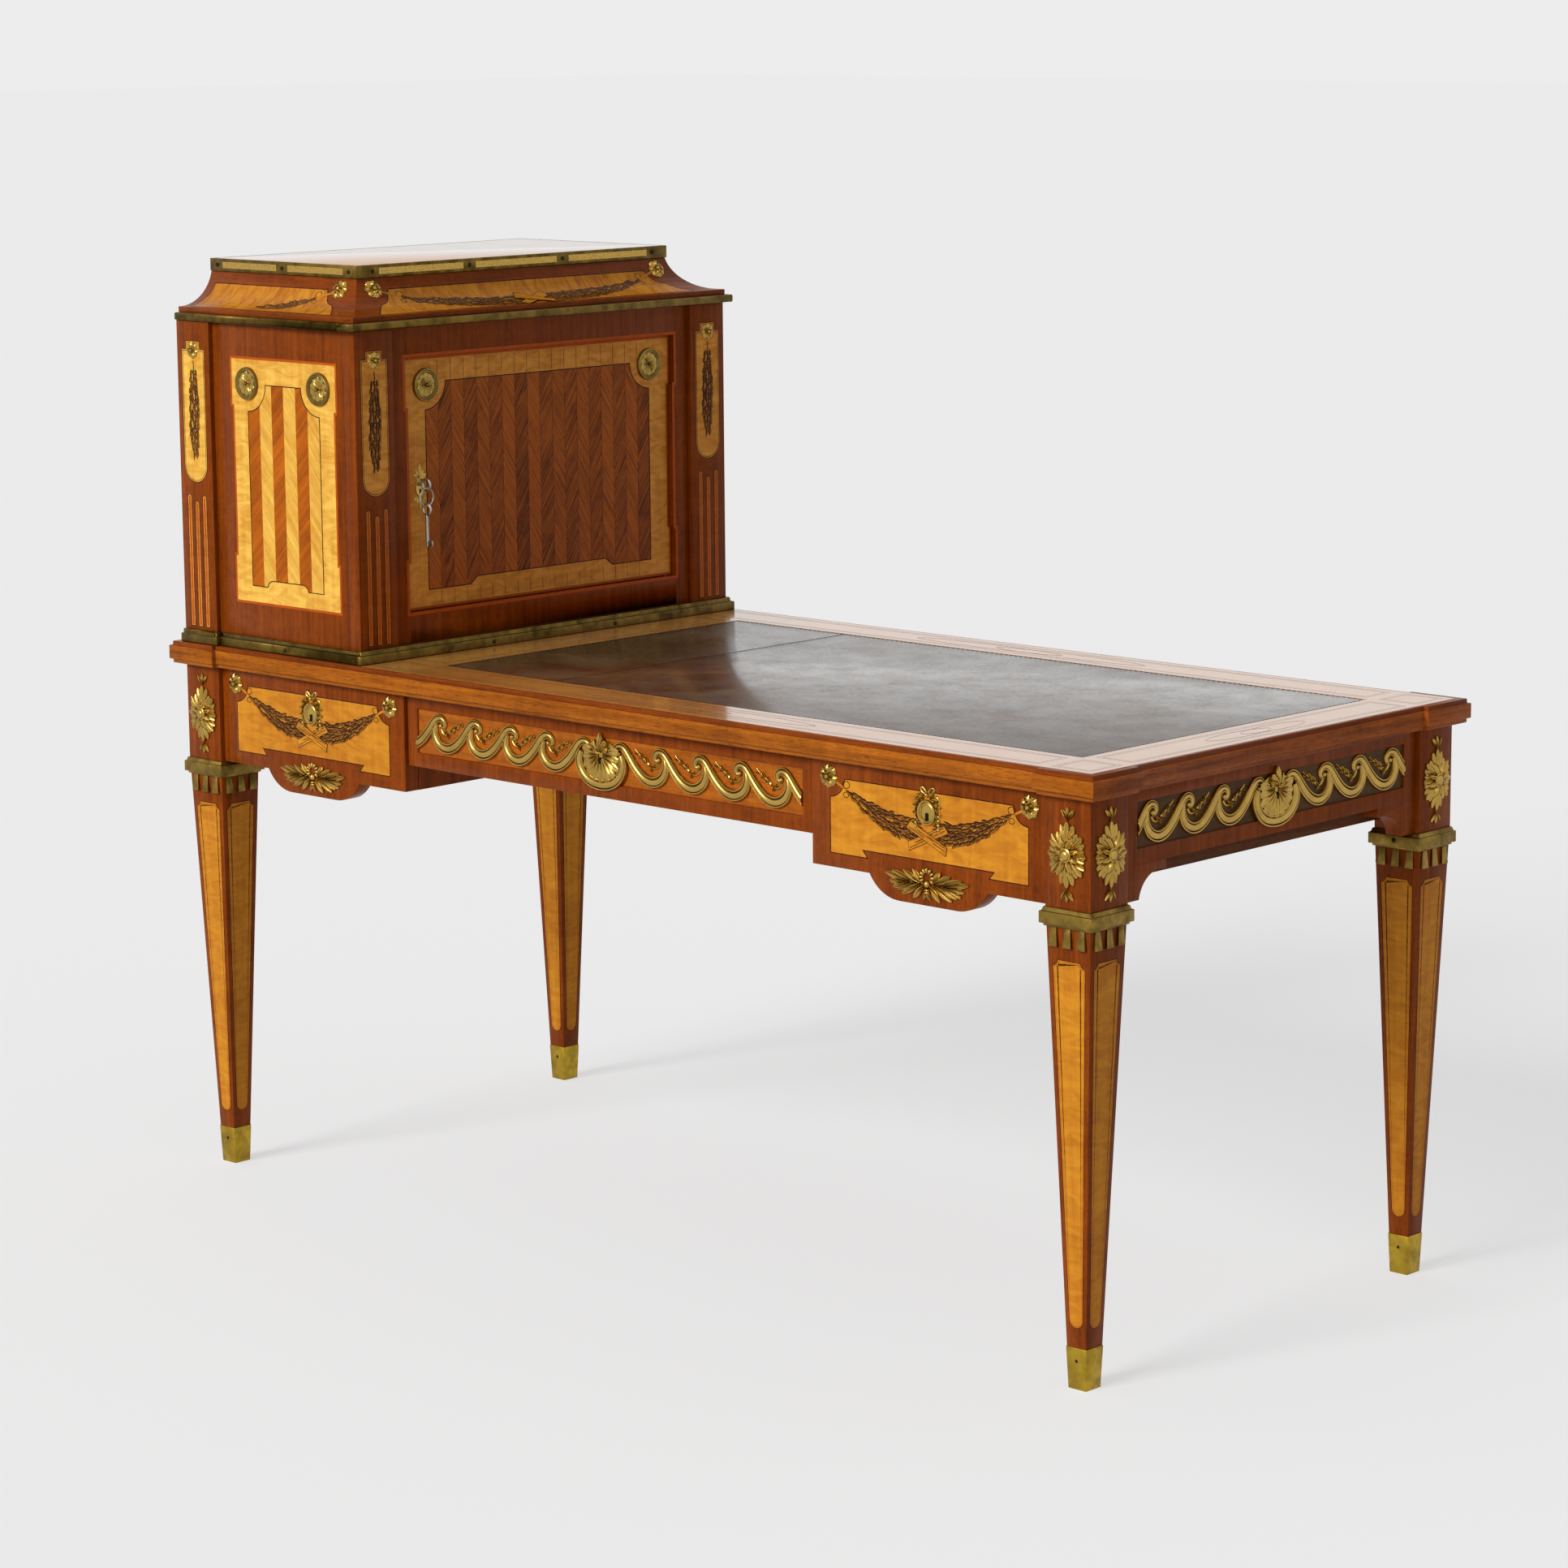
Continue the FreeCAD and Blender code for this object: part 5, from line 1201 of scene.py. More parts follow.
def shape_leaf(bm, matrix, reach, width, rise, lobes=3, curl=0.0, fullest=0.4):
    """A leaf in relief: a grid drawn out to a lobed outline, ribbed, and closed down to its bed."""
    verts = bmesh.ops.create_grid(bm, x_segments=6, y_segments=8, size=0.5)["verts"]
    bias = math.log(0.5) / math.log(fullest)
    for vert in verts:
        along = vert.co.y + 0.5
        side = vert.co.x * 2
        swell = max(math.sin(math.pi * (0.07 + 0.88 * along ** bias)), 0.05) ** 0.6
        scallop = 1 - 0.24 * (0.5 + 0.5 * math.cos(FULL_TURN * lobes * along)) * abs(side)
        ridge = 1 - 0.6 * side * side - 0.2 * math.cos(math.pi * 3 * side)
        vert.co.x = side * width / 2 * swell * scallop
        vert.co.y = reach * (along - 0.06 * abs(side) * (1 - along))
        vert.co.z = rise * (0.3 + 0.7 * math.sin(math.pi * min(along * 0.85 + 0.15, 1.0))) * ridge
        vert.co.z += curl * rise * along * along
    faces = list({face for vert in verts for face in vert.link_faces})
    made = bmesh.ops.extrude_face_region(bm, geom=faces)["geom"]
    lower = [item for item in made if isinstance(item, bmesh.types.BMVert)]
    for vert in lower:
        vert.co.z = BED
    bmesh.ops.transform(bm, matrix=matrix, verts=verts + lower)


def acanthus(bm, matrix, reach, width, rise):
    """A leaf of several pointed lobes that spring from one root."""
    for step in (2, 1):
        for sign in (-1, 1):
            lobe = matrix @ spot(0, reach * 0.1 * (2 - step), 0, sign * 0.40 * step)
            lobe_reach, lobe_rise = reach * (1 - 0.17 * step), rise * (0.95 - 0.12 * step)
            shape_leaf(bm, lobe, lobe_reach, width * 0.4, lobe_rise, 2, 0.3, 0.6)
    shape_leaf(bm, matrix @ spot(0, 0, 0.0004), reach, width * 0.4, rise, 3, 0.3, 0.58)


def turned_ring(bm, matrix, profile, steps=28, index=0):
    """A turned shape from a profile of (radius, height) that stands on its bed and ends on its axis."""
    part = bmesh.new()
    standing = [(profile[0][0], BED), *profile]
    verts = [part.verts.new((radius, 0, height)) for radius, height in standing]
    edges = [part.edges.new(pair) for pair in zip(verts, verts[1:])]
    bmesh.ops.spin(part, geom=verts + edges, cent=(0, 0, 0), axis=(0, 0, 1), angle=FULL_TURN, steps=steps,
                   use_merge=True)
    bmesh.ops.remove_doubles(part, verts=part.verts, dist=MERGE / 10)
    bmesh.ops.holes_fill(part, edges=[edge for edge in part.edges if edge.is_boundary])
    for face in part.faces:
        face.material_index = index
    stamp(bm, pressed(part), [matrix])


def boss(bm, matrix, radius, rise):
    """A rounded knob."""
    steps = 5
    profile = [(radius * math.cos(math.pi / 2 * step / steps), rise * math.sin(math.pi / 2 * step / steps))
               for step in range(steps)]
    turned_ring(bm, matrix, [*profile, (0, rise)], 14)


def stamp(bm, mesh, places, keep=False):
    """Add a copy of a shape at each of several places."""
    for place in places:
        copy = mesh.copy()
        copy.transform(place)
        bm.from_mesh(copy)
        bpy.data.meshes.remove(copy)
    if not keep:
        bpy.data.meshes.remove(mesh)


def rosette_stamp(radius, rise, petals=8):
    """A round flower of two rows of full petals about a knob."""
    bm = bmesh.new()
    for start, end, high, shift in ((0.25, 1.0, 0.62, 0.0), (0.12, 0.68, 0.95, 0.5)):
        for step in range(petals):
            turn = FULL_TURN * (step + shift) / petals
            petal = Matrix.Rotation(turn, 4, "Z") @ spot(0, radius * start)
            shape_leaf(bm, petal, radius * (end - start), radius * 0.86 * end, rise * high, 1, 0.0, 0.62)
    profile = ((0.3, 0.75), (0.24, 0.9), (0.2, 0.8), (0.16, 1.0), (0, 1.1))
    turned_ring(bm, Matrix(), [(radius * share, rise * level) for share, level in profile], 14)
    return pressed(bm)


def leaf_mount_stamp(half_wide, half_tall, rise):
    """The acanthus rosette of a leg block: lobed leaves all round, a knob, and a small fan at each end."""
    bm = bmesh.new()
    for turn, share in ((0.0, 1.0), (0.78, 0.93), (-0.78, 0.93), (1.57, 0.98), (-1.57, 0.98), (2.36, 0.93),
                        (-2.36, 0.93), (math.pi, 1.0)):
        reach = math.hypot(math.sin(turn) * half_wide, math.cos(turn) * half_tall) * share
        acanthus(bm, spot(0, 0, 0, turn) @ spot(0, reach * 0.24), reach * 0.76, half_wide * 0.92, rise * 0.6)
    for step in range(8):
        turn = FULL_TURN * (step + 0.5) / 8
        reach = math.hypot(math.sin(turn) * half_wide, math.cos(turn) * half_tall) * 0.6
        leaf = spot(0, 0, 0.0006, turn) @ spot(0, reach * 0.24)
        shape_leaf(bm, leaf, reach * 0.76, half_wide * 0.46, rise * 0.8, 2, 0.2, 0.55)
    knob = half_wide * 0.3
    profile = ((1, 0.8), (0.8, 0.9), (0.72, 0.82), (0.62, 1.05), (0.3, 1.16), (0, 1.2))
    turned_ring(bm, Matrix(), [(knob * share, rise * level) for share, level in profile], 16)
    for sign in (0, 1):
        end = Matrix.Rotation(sign * math.pi, 4, "Z") @ spot(0, half_tall * 1.02)
        shape_leaf(bm, end, half_tall * 0.1, half_wide * 0.09, rise * 0.35, 0)
        fan = end @ spot(0, half_tall * 0.05)
        for turn in (-0.68, 0.68, 0.0):
            leaf = fan @ spot(0, 0, 0, turn)
            shape_leaf(bm, leaf, half_tall * 0.38, half_wide * 0.19, rise * 0.4, 1, 0.2, 0.7)
    return pressed(bm)


def add_swept(bm, paths, matrix, profile):
    """Sweep a profile along smooth paths of (u, v, half width) in one plane."""
    edge = bpy.data.curves.new("ribbon_profile", "CURVE")
    edge.dimensions = "2D"
    shape = edge.splines.new("POLY")
    shape.points.add(len(profile) - 1)
    for point, (u, v) in zip(shape.points, profile):
        point.co = (u, v, 0, 1)
    shape.use_cyclic_u = True
    section = placed("ribbon_profile", edge)
    curve = bpy.data.curves.new("ribbon_path", "CURVE")
    curve.dimensions = "3D"
    curve.twist_mode = "Z_UP"
    curve.bevel_mode = "OBJECT"
    curve.bevel_object = section
    curve.use_fill_caps = True
    curve.resolution_u = 5
    for path in paths:
        spline = curve.splines.new("NURBS")
        spline.points.add(len(path) - 1)
        for point, (u, v, half) in zip(spline.points, path):
            point.co = (u, v, 0, 1)
            point.radius = half
        spline.order_u = 4
        spline.use_endpoint_u = True
    ribbons = placed("ribbon_path", curve)
    mesh = bpy.data.meshes.new_from_object(ribbons.evaluated_get(bpy.context.evaluated_depsgraph_get()))
    stamp(bm, mesh, [matrix])
    for item in (ribbons, section):
        data = item.data
        bpy.data.objects.remove(item)
        bpy.data.curves.remove(data)


def drawn(path, stretch_u=1.0, stretch_v=1.0, half=1.0, u=0.0, v=0.0):
    """A path drawn out to its size and moved into place."""
    return [(u + point[0] * stretch_u, v + point[1] * stretch_v, point[2] * half) for point in path]


RIBBON_PROFILE = ((-1.0, -0.05), (1.0, -0.05), (1.0, 0.42), (0.88, 0.6), (0.72, 0.6), (0.6, 0.42),
                  (0.42, 0.74), (0.12, 0.9), (-0.2, 0.86), (-0.46, 0.62), (-0.58, 0.36), (-0.7, 0.6),
                  (-0.88, 0.62), (-1.0, 0.42))
STEM_PROFILE = ((-1.0, -0.1), (1.0, -0.1), (0.8, 0.7), (0.0, 1.1), (-0.8, 0.7))
WAVE_PATH = ((-0.0035, 0.0118, 0.30), (-0.0060, 0.0085, 0.40), (-0.0115, 0.0105, 0.52),
             (-0.0115, 0.0190, 0.58), (-0.0030, 0.0238, 0.68), (0.0060, 0.0212, 0.78),
             (0.0130, 0.0125, 0.86), (0.0215, 0.0015, 0.90), (0.0320, -0.0095, 0.95),
             (0.0440, -0.0175, 1.00), (0.0575, -0.0200, 1.00), (0.0710, -0.0155, 0.96),
             (0.0795, -0.0055, 0.88), (0.0815, 0.0060, 0.74), (0.0770, 0.0150, 0.50))
STALK_PATH = ((0.0680, 0.0070, 0.8), (0.0650, 0.0010, 0.9), (0.0590, -0.0015, 1.0), (0.0530, 0.0010, 1.1),
              (0.0475, 0.0055, 1.1), (0.0430, 0.0095, 1.1), (0.0375, 0.0110, 1.0), (0.0340, 0.0155, 0.9),
              (0.0295, 0.0165, 0.8), (0.0245, 0.0215, 0.5))
SPRIG_LEAVES = ((0.0550, 0.0005, 0.95, 0.0075), (0.0550, 0.0005, 2.75, 0.0066),
                (0.0550, 0.0005, -0.75, 0.0066), (0.0475, 0.0055, 0.50, 0.0085),
                (0.0475, 0.0055, 1.40, 0.0080), (0.0390, 0.0105, 0.55, 0.0080),
                (0.0390, 0.0105, 1.45, 0.0075), (0.0290, 0.0168, 1.70, 0.0062))


def running_scroll(bm, half_panel, stretch):
    """Running scroll both ways from a shell: hooked waves with a leaf sprig in each hollow."""
    wide, first = sizes().ribbon, sizes().wave_first
    ribbons, stalks = [], []
    for sign, draw_out in ((1, stretch), (-1, 1.0)):
        pitch = sizes().wave_pitch * draw_out
        count = int((half_panel - first) / pitch) + 1
        for wave in range(count):
            start = first + wave * pitch
            path = drawn(WAVE_PATH, draw_out, half=wide, u=start)
            ribbons.append([(u * sign, v, half) for u, v, half in path])
            boss(bm, spot(path[0][0] * sign, path[0][1]), 0.0034, 0.0052)
            if wave == count - 1:
                continue
            path = drawn(STALK_PATH, draw_out, half=0.0021, u=start)
            stalks.append([(u * sign, v, half) for u, v, half in path])
            for u, v, turn, reach in SPRIG_LEAVES:
                leaf = spot((start + u * draw_out) * sign, v, 0.0, turn * sign)
                shape_leaf(bm, leaf, reach, reach * 0.62, 0.0038, 1)
    add_swept(bm, ribbons, Matrix(), RIBBON_PROFILE)
    add_swept(bm, stalks, Matrix(), STEM_PROFILE)
    for edge in (half_panel, -half_panel):
        cut_off(bm, edge)


def cut_off(bm, edge):
    """Cut a casting off square at one end and close the cut."""
    everything = bm.verts[:] + bm.edges[:] + bm.faces[:]
    bmesh.ops.bisect_plane(bm, geom=everything, dist=MERGE, plane_co=(edge, 0, 0),
                           plane_no=(math.copysign(1, edge), 0, 0), clear_outer=True)
    open_edges = [item for item in bm.edges if item.is_boundary]
    rim = [item for item in open_edges if all(abs(vert.co.x - edge) < 10 * MERGE for vert in item.verts)]
    bmesh.ops.holes_fill(bm, edges=rim)


SHELL_FRAME = ((0.80, 0.30, 0.8), (0.93, 0.02, 1.0), (0.84, -0.42, 1.1), (0.50, -0.82, 1.15),
               (0.0, -0.93, 1.2), (-0.50, -0.82, 1.15), (-0.84, -0.42, 1.1), (-0.93, 0.02, 1.0),
               (-0.80, 0.30, 0.8))


def shell(bm, matrix, half_wide, half_tall, rise):
    """A ribbed shell in a round frame with a palmette above and a keyhole."""
    ribs = 11
    base = matrix @ spot(0, half_tall * 0.22)
    dish = matrix @ spot(0, half_tall * -0.12, 0, 0, (1, 0.86, 1))
    turned_ring(bm, dish, [(half_wide * 0.8, 0.001), (half_wide * 0.3, 0.0022), (0, 0.0022)])
    for rib in range(ribs):
        turn = math.radians(180 - 104 + 208 * rib / (ribs - 1))
        reach = half_tall * (0.78 + 0.24 * abs(math.cos(turn)))
        shape_leaf(bm, base @ spot(0, 0, 0.0008, turn) @ spot(0, half_wide * 0.1), reach, half_wide * 0.32,
                   rise * 0.55, 1, 0.3, 0.78)
    add_swept(bm, [drawn(SHELL_FRAME, half_wide, half_tall, sizes().ribbon * 0.85)], matrix, RIBBON_PROFILE)
    top = matrix @ spot(0, half_tall * 0.36, 0.0018)
    for turn, reach in ((1.15, 0.42), (-1.15, 0.42), (0.62, 0.52), (-0.62, 0.52), (0.0, 0.70)):
        leaf = top @ spot(0, 0, 0, turn)
        shape_leaf(bm, leaf, half_tall * reach, half_wide * 0.24, rise * 0.8, 2, 0.2, 0.6)
    keyhole(bm, matrix @ spot(0, half_tall * 0.2, rise * 0.72), 1.0)


def keyhole(bm, matrix, scale):
    """A dark keyhole, painted shade in place of a hole: a round head over a narrow slot."""
    head, slot, drop = 0.0032 * scale, 0.0016 * scale, 0.010 * scale
    outline = rounded([(slot, -drop), (slot, -head * 0.8, head), (-slot, -head * 0.8), (-slot, -drop)])
    face = flat_face(bm, outline, -0.002)
    face.material_index = 1
    raise_faces(bm, [face], 0.0024, matrix)


class DESK_OT_scrolls(bpy.types.Operator):
    """Cast the running scrolls and shells of the middle drawer, the ends and the back"""

    bl_idname = "desk.scrolls"
    bl_label = "Running scrolls"

    def execute(self, context):
        (front, back), half, _ = long_panels()
        nodes = ("centre_drawer_mounts",)
        self.strip("centre_scroll", [front], half, "centre_drawer", nodes, sizes().wave_stretch)
        self.strip("back_scroll", [back], half, "table", ())
        ends, half, _ = end_panels()
        self.strip("end_scrolls", ends, half, "table", ("end_scroll_mounts",))
        return {"FINISHED"}

    def strip(self, name, places, half, body, nodes, stretch=1.0):
        """Both halves of a scroll and its shell, on one or more faces."""
        cast = bmesh.new()
        running_scroll(cast, half - PLAY, stretch)
        shell(cast, spot(0, -0.001, 0.0025), 0.047, 0.036, 0.0075)
        bm = bmesh.new()
        stamp(bm, pressed(cast), places)
        finish_piece(name, bm, ["gilt", "keyhole"], body, "gilt_bronze", nodes, CAST_ANGLE)


BOW_LOOP = ((0.0, 0.0195, 0.7), (0.003, 0.026, 0.9), (0.0095, 0.0315, 1.0), (0.0125, 0.0255, 1.0),
            (0.006, 0.0205, 0.8), (0.0, 0.0195, 0.7))
BOW_TAIL = ((0.002, 0.0205, 0.8), (0.008, 0.0175, 1.0), (0.014, 0.0195, 1.0), (0.0195, 0.0165, 0.9),
            (0.0205, 0.009, 0.9), (0.0185, 0.001, 0.9), (0.0200, -0.007, 0.9), (0.0180, -0.014, 0.8),
            (0.0190, -0.020, 1.1), (0.0185, -0.026, 1.3), (0.0185, -0.0285, 0.7))
SPRAY_LEAVES = ((0.030, 0.001, 0.069, 0.007), (0.024, 0.002, 0.058, 0.011), (0.014, 0.002, 0.039, 0.014),
                (0.008, 0.002, 0.023, 0.017), (0.034, 0.000, 0.062, -0.003),
                (0.028, 0.000, 0.056, -0.010), (0.020, 0.000, 0.049, -0.012),
                (0.012, -0.001, 0.041, -0.017), (0.006, -0.003, 0.022, -0.020))
PLATE_PROFILE = ((0.0152, 0.0022), (0.0145, 0.0036), (0.0130, 0.0036), (0.0120, 0.0022), (0.0110, 0.0032),
                 (0.0100, 0.0032), (0.0092, 0.0016), (0.0, 0.0016))
MEDALLION_PROFILE = ((0.0236, 0.0026), (0.0228, 0.0042), (0.0212, 0.0044), (0.0204, 0.0032),
                     (0.0196, 0.0038), (0.0184, 0.0036), (0.0174, 0.0018), (0.0, 0.0010))
MEDALLION_HALF = 0.022


class DESK_OT_mounts(bpy.types.Operator):
    """Cast the rosettes, keyhole mounts, leaf sprays, leg mounts and medallions"""

    bl_idname = "desk.mounts"
    bl_label = "Gilt mounts"

    def execute(self, context):
        self.drawers()
        self.leg_leaves()
        self.medallions()
        self.rosettes()
        return {"FINISHED"}

    def cast(self, name, mesh, places, body, nodes, keep=False, face="gilt"):
        """A piece of several copies of one casting."""
        bm = bmesh.new()
        stamp(bm, mesh, places, keep)
        finish_piece(name, bm, [face, "keyhole", "dark_gilt"], body, "gilt_bronze", nodes, CAST_ANGLE)

    def drawers(self):
        """Rosettes, keyhole mount and leaf spray of the side drawers and of the back beside them."""
        rosette_u, rosette_v, plate_v, spray_v = 0.166, -0.020, -0.044, -0.1375
        bm = bmesh.new()
        stamp(bm, rosette_stamp(0.0148, 0.0062), [spot(rosette_u * sign, rosette_v) for sign in (-1, 1)])
        self.keyhole_mount(bm, spot(0, plate_v))
        self.spray(bm, spot(0, spray_v))
        mesh = pressed(bm)
        backs = []
        for name in ("left", "right"):
            low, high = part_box(name + "_drawer_front")
            middle = (low.x + high.x) / 2
            place = facing("front", middle, low.y, high.z)
            nodes = (name + "_drawer_mounts",)
            self.cast(name + "_drawer_cast", mesh, [place], name + "_drawer", nodes, keep=True)
            backs.append(facing("back", middle, -low.y, high.z))
        self.cast("back_mounts_cast", mesh, backs, "table", ("back_mounts",))

    def keyhole_mount(self, bm, place):
        """A round plate with a moulded rim, hung from a ribbon bow with a tasselled cord at each side."""
        turned_ring(bm, place @ spot(0, -0.003, 0, 0, (1.0, 1.08, 1)), PLATE_PROFILE)
        keyhole(bm, place @ spot(0, -0.0005, 0.0021), 1.35)
        for sign in (-1, 1):
            for step in range(5):
                angle = math.radians(20 + 24 * step)
                u, v = math.sin(angle) * 0.0168 * sign, math.cos(angle) * 0.0185 - 0.002
                for spread in (0.3, 1.5):
                    leaf = place @ spot(u, v, 0.0006, -sign * (angle + spread))
                    shape_leaf(bm, leaf, 0.0082, 0.0046, 0.0034, 1)
            for step in range(4):
                boss(bm, place @ spot(sign * 0.0188, -0.006 - 0.0055 * step), 0.0026, 0.0034)
        bows = [drawn(path, sign, 1, 0.0018) for sign in (1, -1) for path in (BOW_LOOP, BOW_TAIL)]
        add_swept(bm, bows, place, STEM_PROFILE)
        boss(bm, place @ spot(0, 0.0195), 0.0034, 0.0048)

    def spray(self, bm, place):
        """Two leafy branches tied by a ribbed ring and a ribbon."""
        for sign in (-1, 1):
            for u, v, tip_u, tip_v in SPRAY_LEAVES:
                way = Vector((tip_u - u, tip_v - v))
                leaf = place @ spot(u * sign, v, 0, math.atan2(-way.x * sign, way.y))
                shape_leaf(bm, leaf, way.length, 0.0085, 0.0044, 1, 0.3, 0.62)
        for step in range(9):
            turn = math.radians(-115 + 230 * step / 8)
            u, v = math.sin(turn) * 0.0095, math.cos(turn) * 0.0095 + 0.008
            boss(bm, place @ spot(u, v, 0, -turn, (0.75, 1.25, 1)), 0.0034, 0.0046)
        boss(bm, place, 0.0050, 0.0058)
        for turn in (math.pi - 0.5, math.pi + 0.5):
            shape_leaf(bm, place @ spot(0, -0.010, 0, turn), 0.0125, 0.0055, 0.0036, 1)
        for level in (-0.0075, -0.0105):
            boss(bm, place @ spot(0, level, 0, 0, (1.5, 0.6, 1)), 0.0034, 0.0050)

    def leg_leaves(self):
        """A leaf rosette on both outer faces of each leg block."""
        collar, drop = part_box("leg_collars")[1].z, 0.002
        places = []
        for name, sign_x, sign_y in CORNERS:
            low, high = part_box(name)
            x, y, z = (low.x + high.x) / 2, (low.y + high.y) / 2, (collar + high.z) / 2 - drop
            face_y = high.y if sign_y > 0 else low.y
            face_x = high.x if sign_x > 0 else low.x
            places.append(facing("back" if sign_y > 0 else "front", x, face_y, z))
            places.append(facing("right" if sign_x > 0 else "left", face_x, y, z))
        mount = leaf_mount_stamp(0.030, 0.0405, 0.0085)
        self.cast("leg_leaf_mounts_cast", mount, places, "table", ("leg_leaf_mounts",))

    def medallion(self):
        """A round mount: a moulded rim round a dished flower of ribbed leaves."""
        bm = bmesh.new()
        turned_ring(bm, Matrix(), MEDALLION_PROFILE, 40, 2)
        for step in range(10):
            turn = FULL_TURN * step / 10
            shape_leaf(bm, spot(0, 0, 0.0009, turn) @ spot(0, 0.0042), 0.0130, 0.0090, 0.0020, 2, 0.5, 0.7)
        stamp(bm, rosette_stamp(0.0064, 0.0040, 6), [spot(0, 0, 0.0012)])
        return pressed(bm)

    def medallions(self):
        """Medallions of the cabinet's sides and of its door."""
        mesh = self.medallion()
        low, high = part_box("side_medallions")
        wall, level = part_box("cabinet_sides")[1].y, (low.z + high.z) / 2
        middles = (low.x + MEDALLION_HALF, high.x - MEDALLION_HALF)
        places = [facing(side, x, wall * sign, level) for side, sign in FLANKS for x in middles]
        self.cast("side_medallions_cast", mesh, places, "table", ("side_medallions",), keep=True)
        low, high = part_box("door_medallions")
        level = (low.z + high.z) / 2
        middles = (low.y + MEDALLION_HALF, high.y - MEDALLION_HALF)
        places = [facing("right", low.x, y, level) for y in middles]
        self.cast("door_medallions_cast", mesh, places, "door", ("door_medallions",), face="door_gilt")

    def rosettes(self):
        """Small rosettes of the posts and pilasters."""
        low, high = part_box("pilaster_rosettes")
        level = (low.z + high.z) / 2
        post_face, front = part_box("cabinet_rear_posts")[1].y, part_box("cabinet_pilasters")[1].x
        post_x, pilaster_y = post_middles()
        places = []
        for side, sign in FLANKS:
            places.append(facing(side, post_x, post_face * sign, level))
            places.append(facing("right", front, pilaster_y * sign, level))
        flower = rosette_stamp(0.0118, 0.0052)
        self.cast("pilaster_rosettes_cast", flower, places, "table", ("pilaster_rosettes",))


# Share of a rim's side from its middle to its last screw; metres beside a screw and above a strip.
SCREW_SPREAD = 0.45
SCREW_ROOM = 0.012
STRIP_LIP = 0.0045


class DESK_OT_cabinet_brass(bpy.types.Operator):
    """Round the cabinet's brass mouldings and screws and finish the door's fittings"""

    bl_idname = "desk.cabinet_brass"
    bl_label = "Cabinet brass"

    def execute(self, context):
        softened("base_moulding", ["cabinet_brass"], sizes().base_edge, segments=3)
        softened("cornice_moulding", ["cabinet_brass"], sizes().cornice_edge, segments=4)
        softened("top_rim", ["cabinet_brass"], sizes().brass_edge)
        softened("brass_screws", ["screw_brass"], sizes().screw_edge)
        self.escutcheon()
        for name in ("door_key", "key_ring", "spare_key"):
            softened(name, ["steel"], sizes().key_edge)
        self.stipple()
        return {"FINISHED"}

    def escutcheon(self):
        """The door's keyhole plate: an oval with a leafy crest and foot."""
        low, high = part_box("door_escutcheon")
        key_rise = 0.012
        place = facing("right", low.x, (low.y + high.y) / 2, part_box("door_key")[1].z - key_rise)
        bm = bmesh.new()
        turned_ring(bm, place @ spot(0, -0.002, 0, 0, (0.95, 1.5, 1)),
                    [(0.0092, 0.0010), (0.0084, 0.0018), (0.0074, 0.0012), (0.0, 0.0010)])
        for sign, level in ((0, 0.010), (1, -0.014)):
            end = place @ spot(0, level, 0, sign * math.pi)
            for turn in (1.1, -1.1, 0.5, -0.5, 0.0):
                leaf = end @ spot(0, 0, 0, turn)
                shape_leaf(bm, leaf, 0.0135 if turn else 0.0205, 0.0062, 0.0016, 2, 0.2, 0.55)
        keyhole(bm, place @ spot(0, -0.002, 0.0008), 1.0)
        finish_piece("door_escutcheon_cast", bm, ["gilt", "keyhole"], "door", "gilt_bronze",
                     ("door_escutcheon",), CAST_ANGLE)

    def stipple(self):
        """Sunk stippled strips between the screws of the rim."""
        low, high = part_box("top_rim")
        level, tall = span(low.z, high.z)
        x, half = span(low.x, high.x)
        bm = bmesh.new()
        for side, x, y, run, screws in (("front", x, low.y, 2 * half, 3), ("back", x, high.y, 2 * half, 3),
                                        ("right", high.x, 0, high.y - low.y, 4)):
            self.strips(bm, facing(side, x, y, level), run, screws, tall - STRIP_LIP)
        finish_piece("rim_stipple", bm, ["stippled_gilt"], "table", "aged_brass")

    def strips(self, bm, place, run, screws, tall):
        """One strip between each pair of screws on a side of the rim."""
        pitch = run * 2 * SCREW_SPREAD / (screws - 1)
        for step in range(screws - 1):
            middle = pitch * (step + 0.5) - run * SCREW_SPREAD
            add_panel(bm, rectangle(pitch / 2 - SCREW_ROOM, tall), place @ spot(middle, 0), [0])


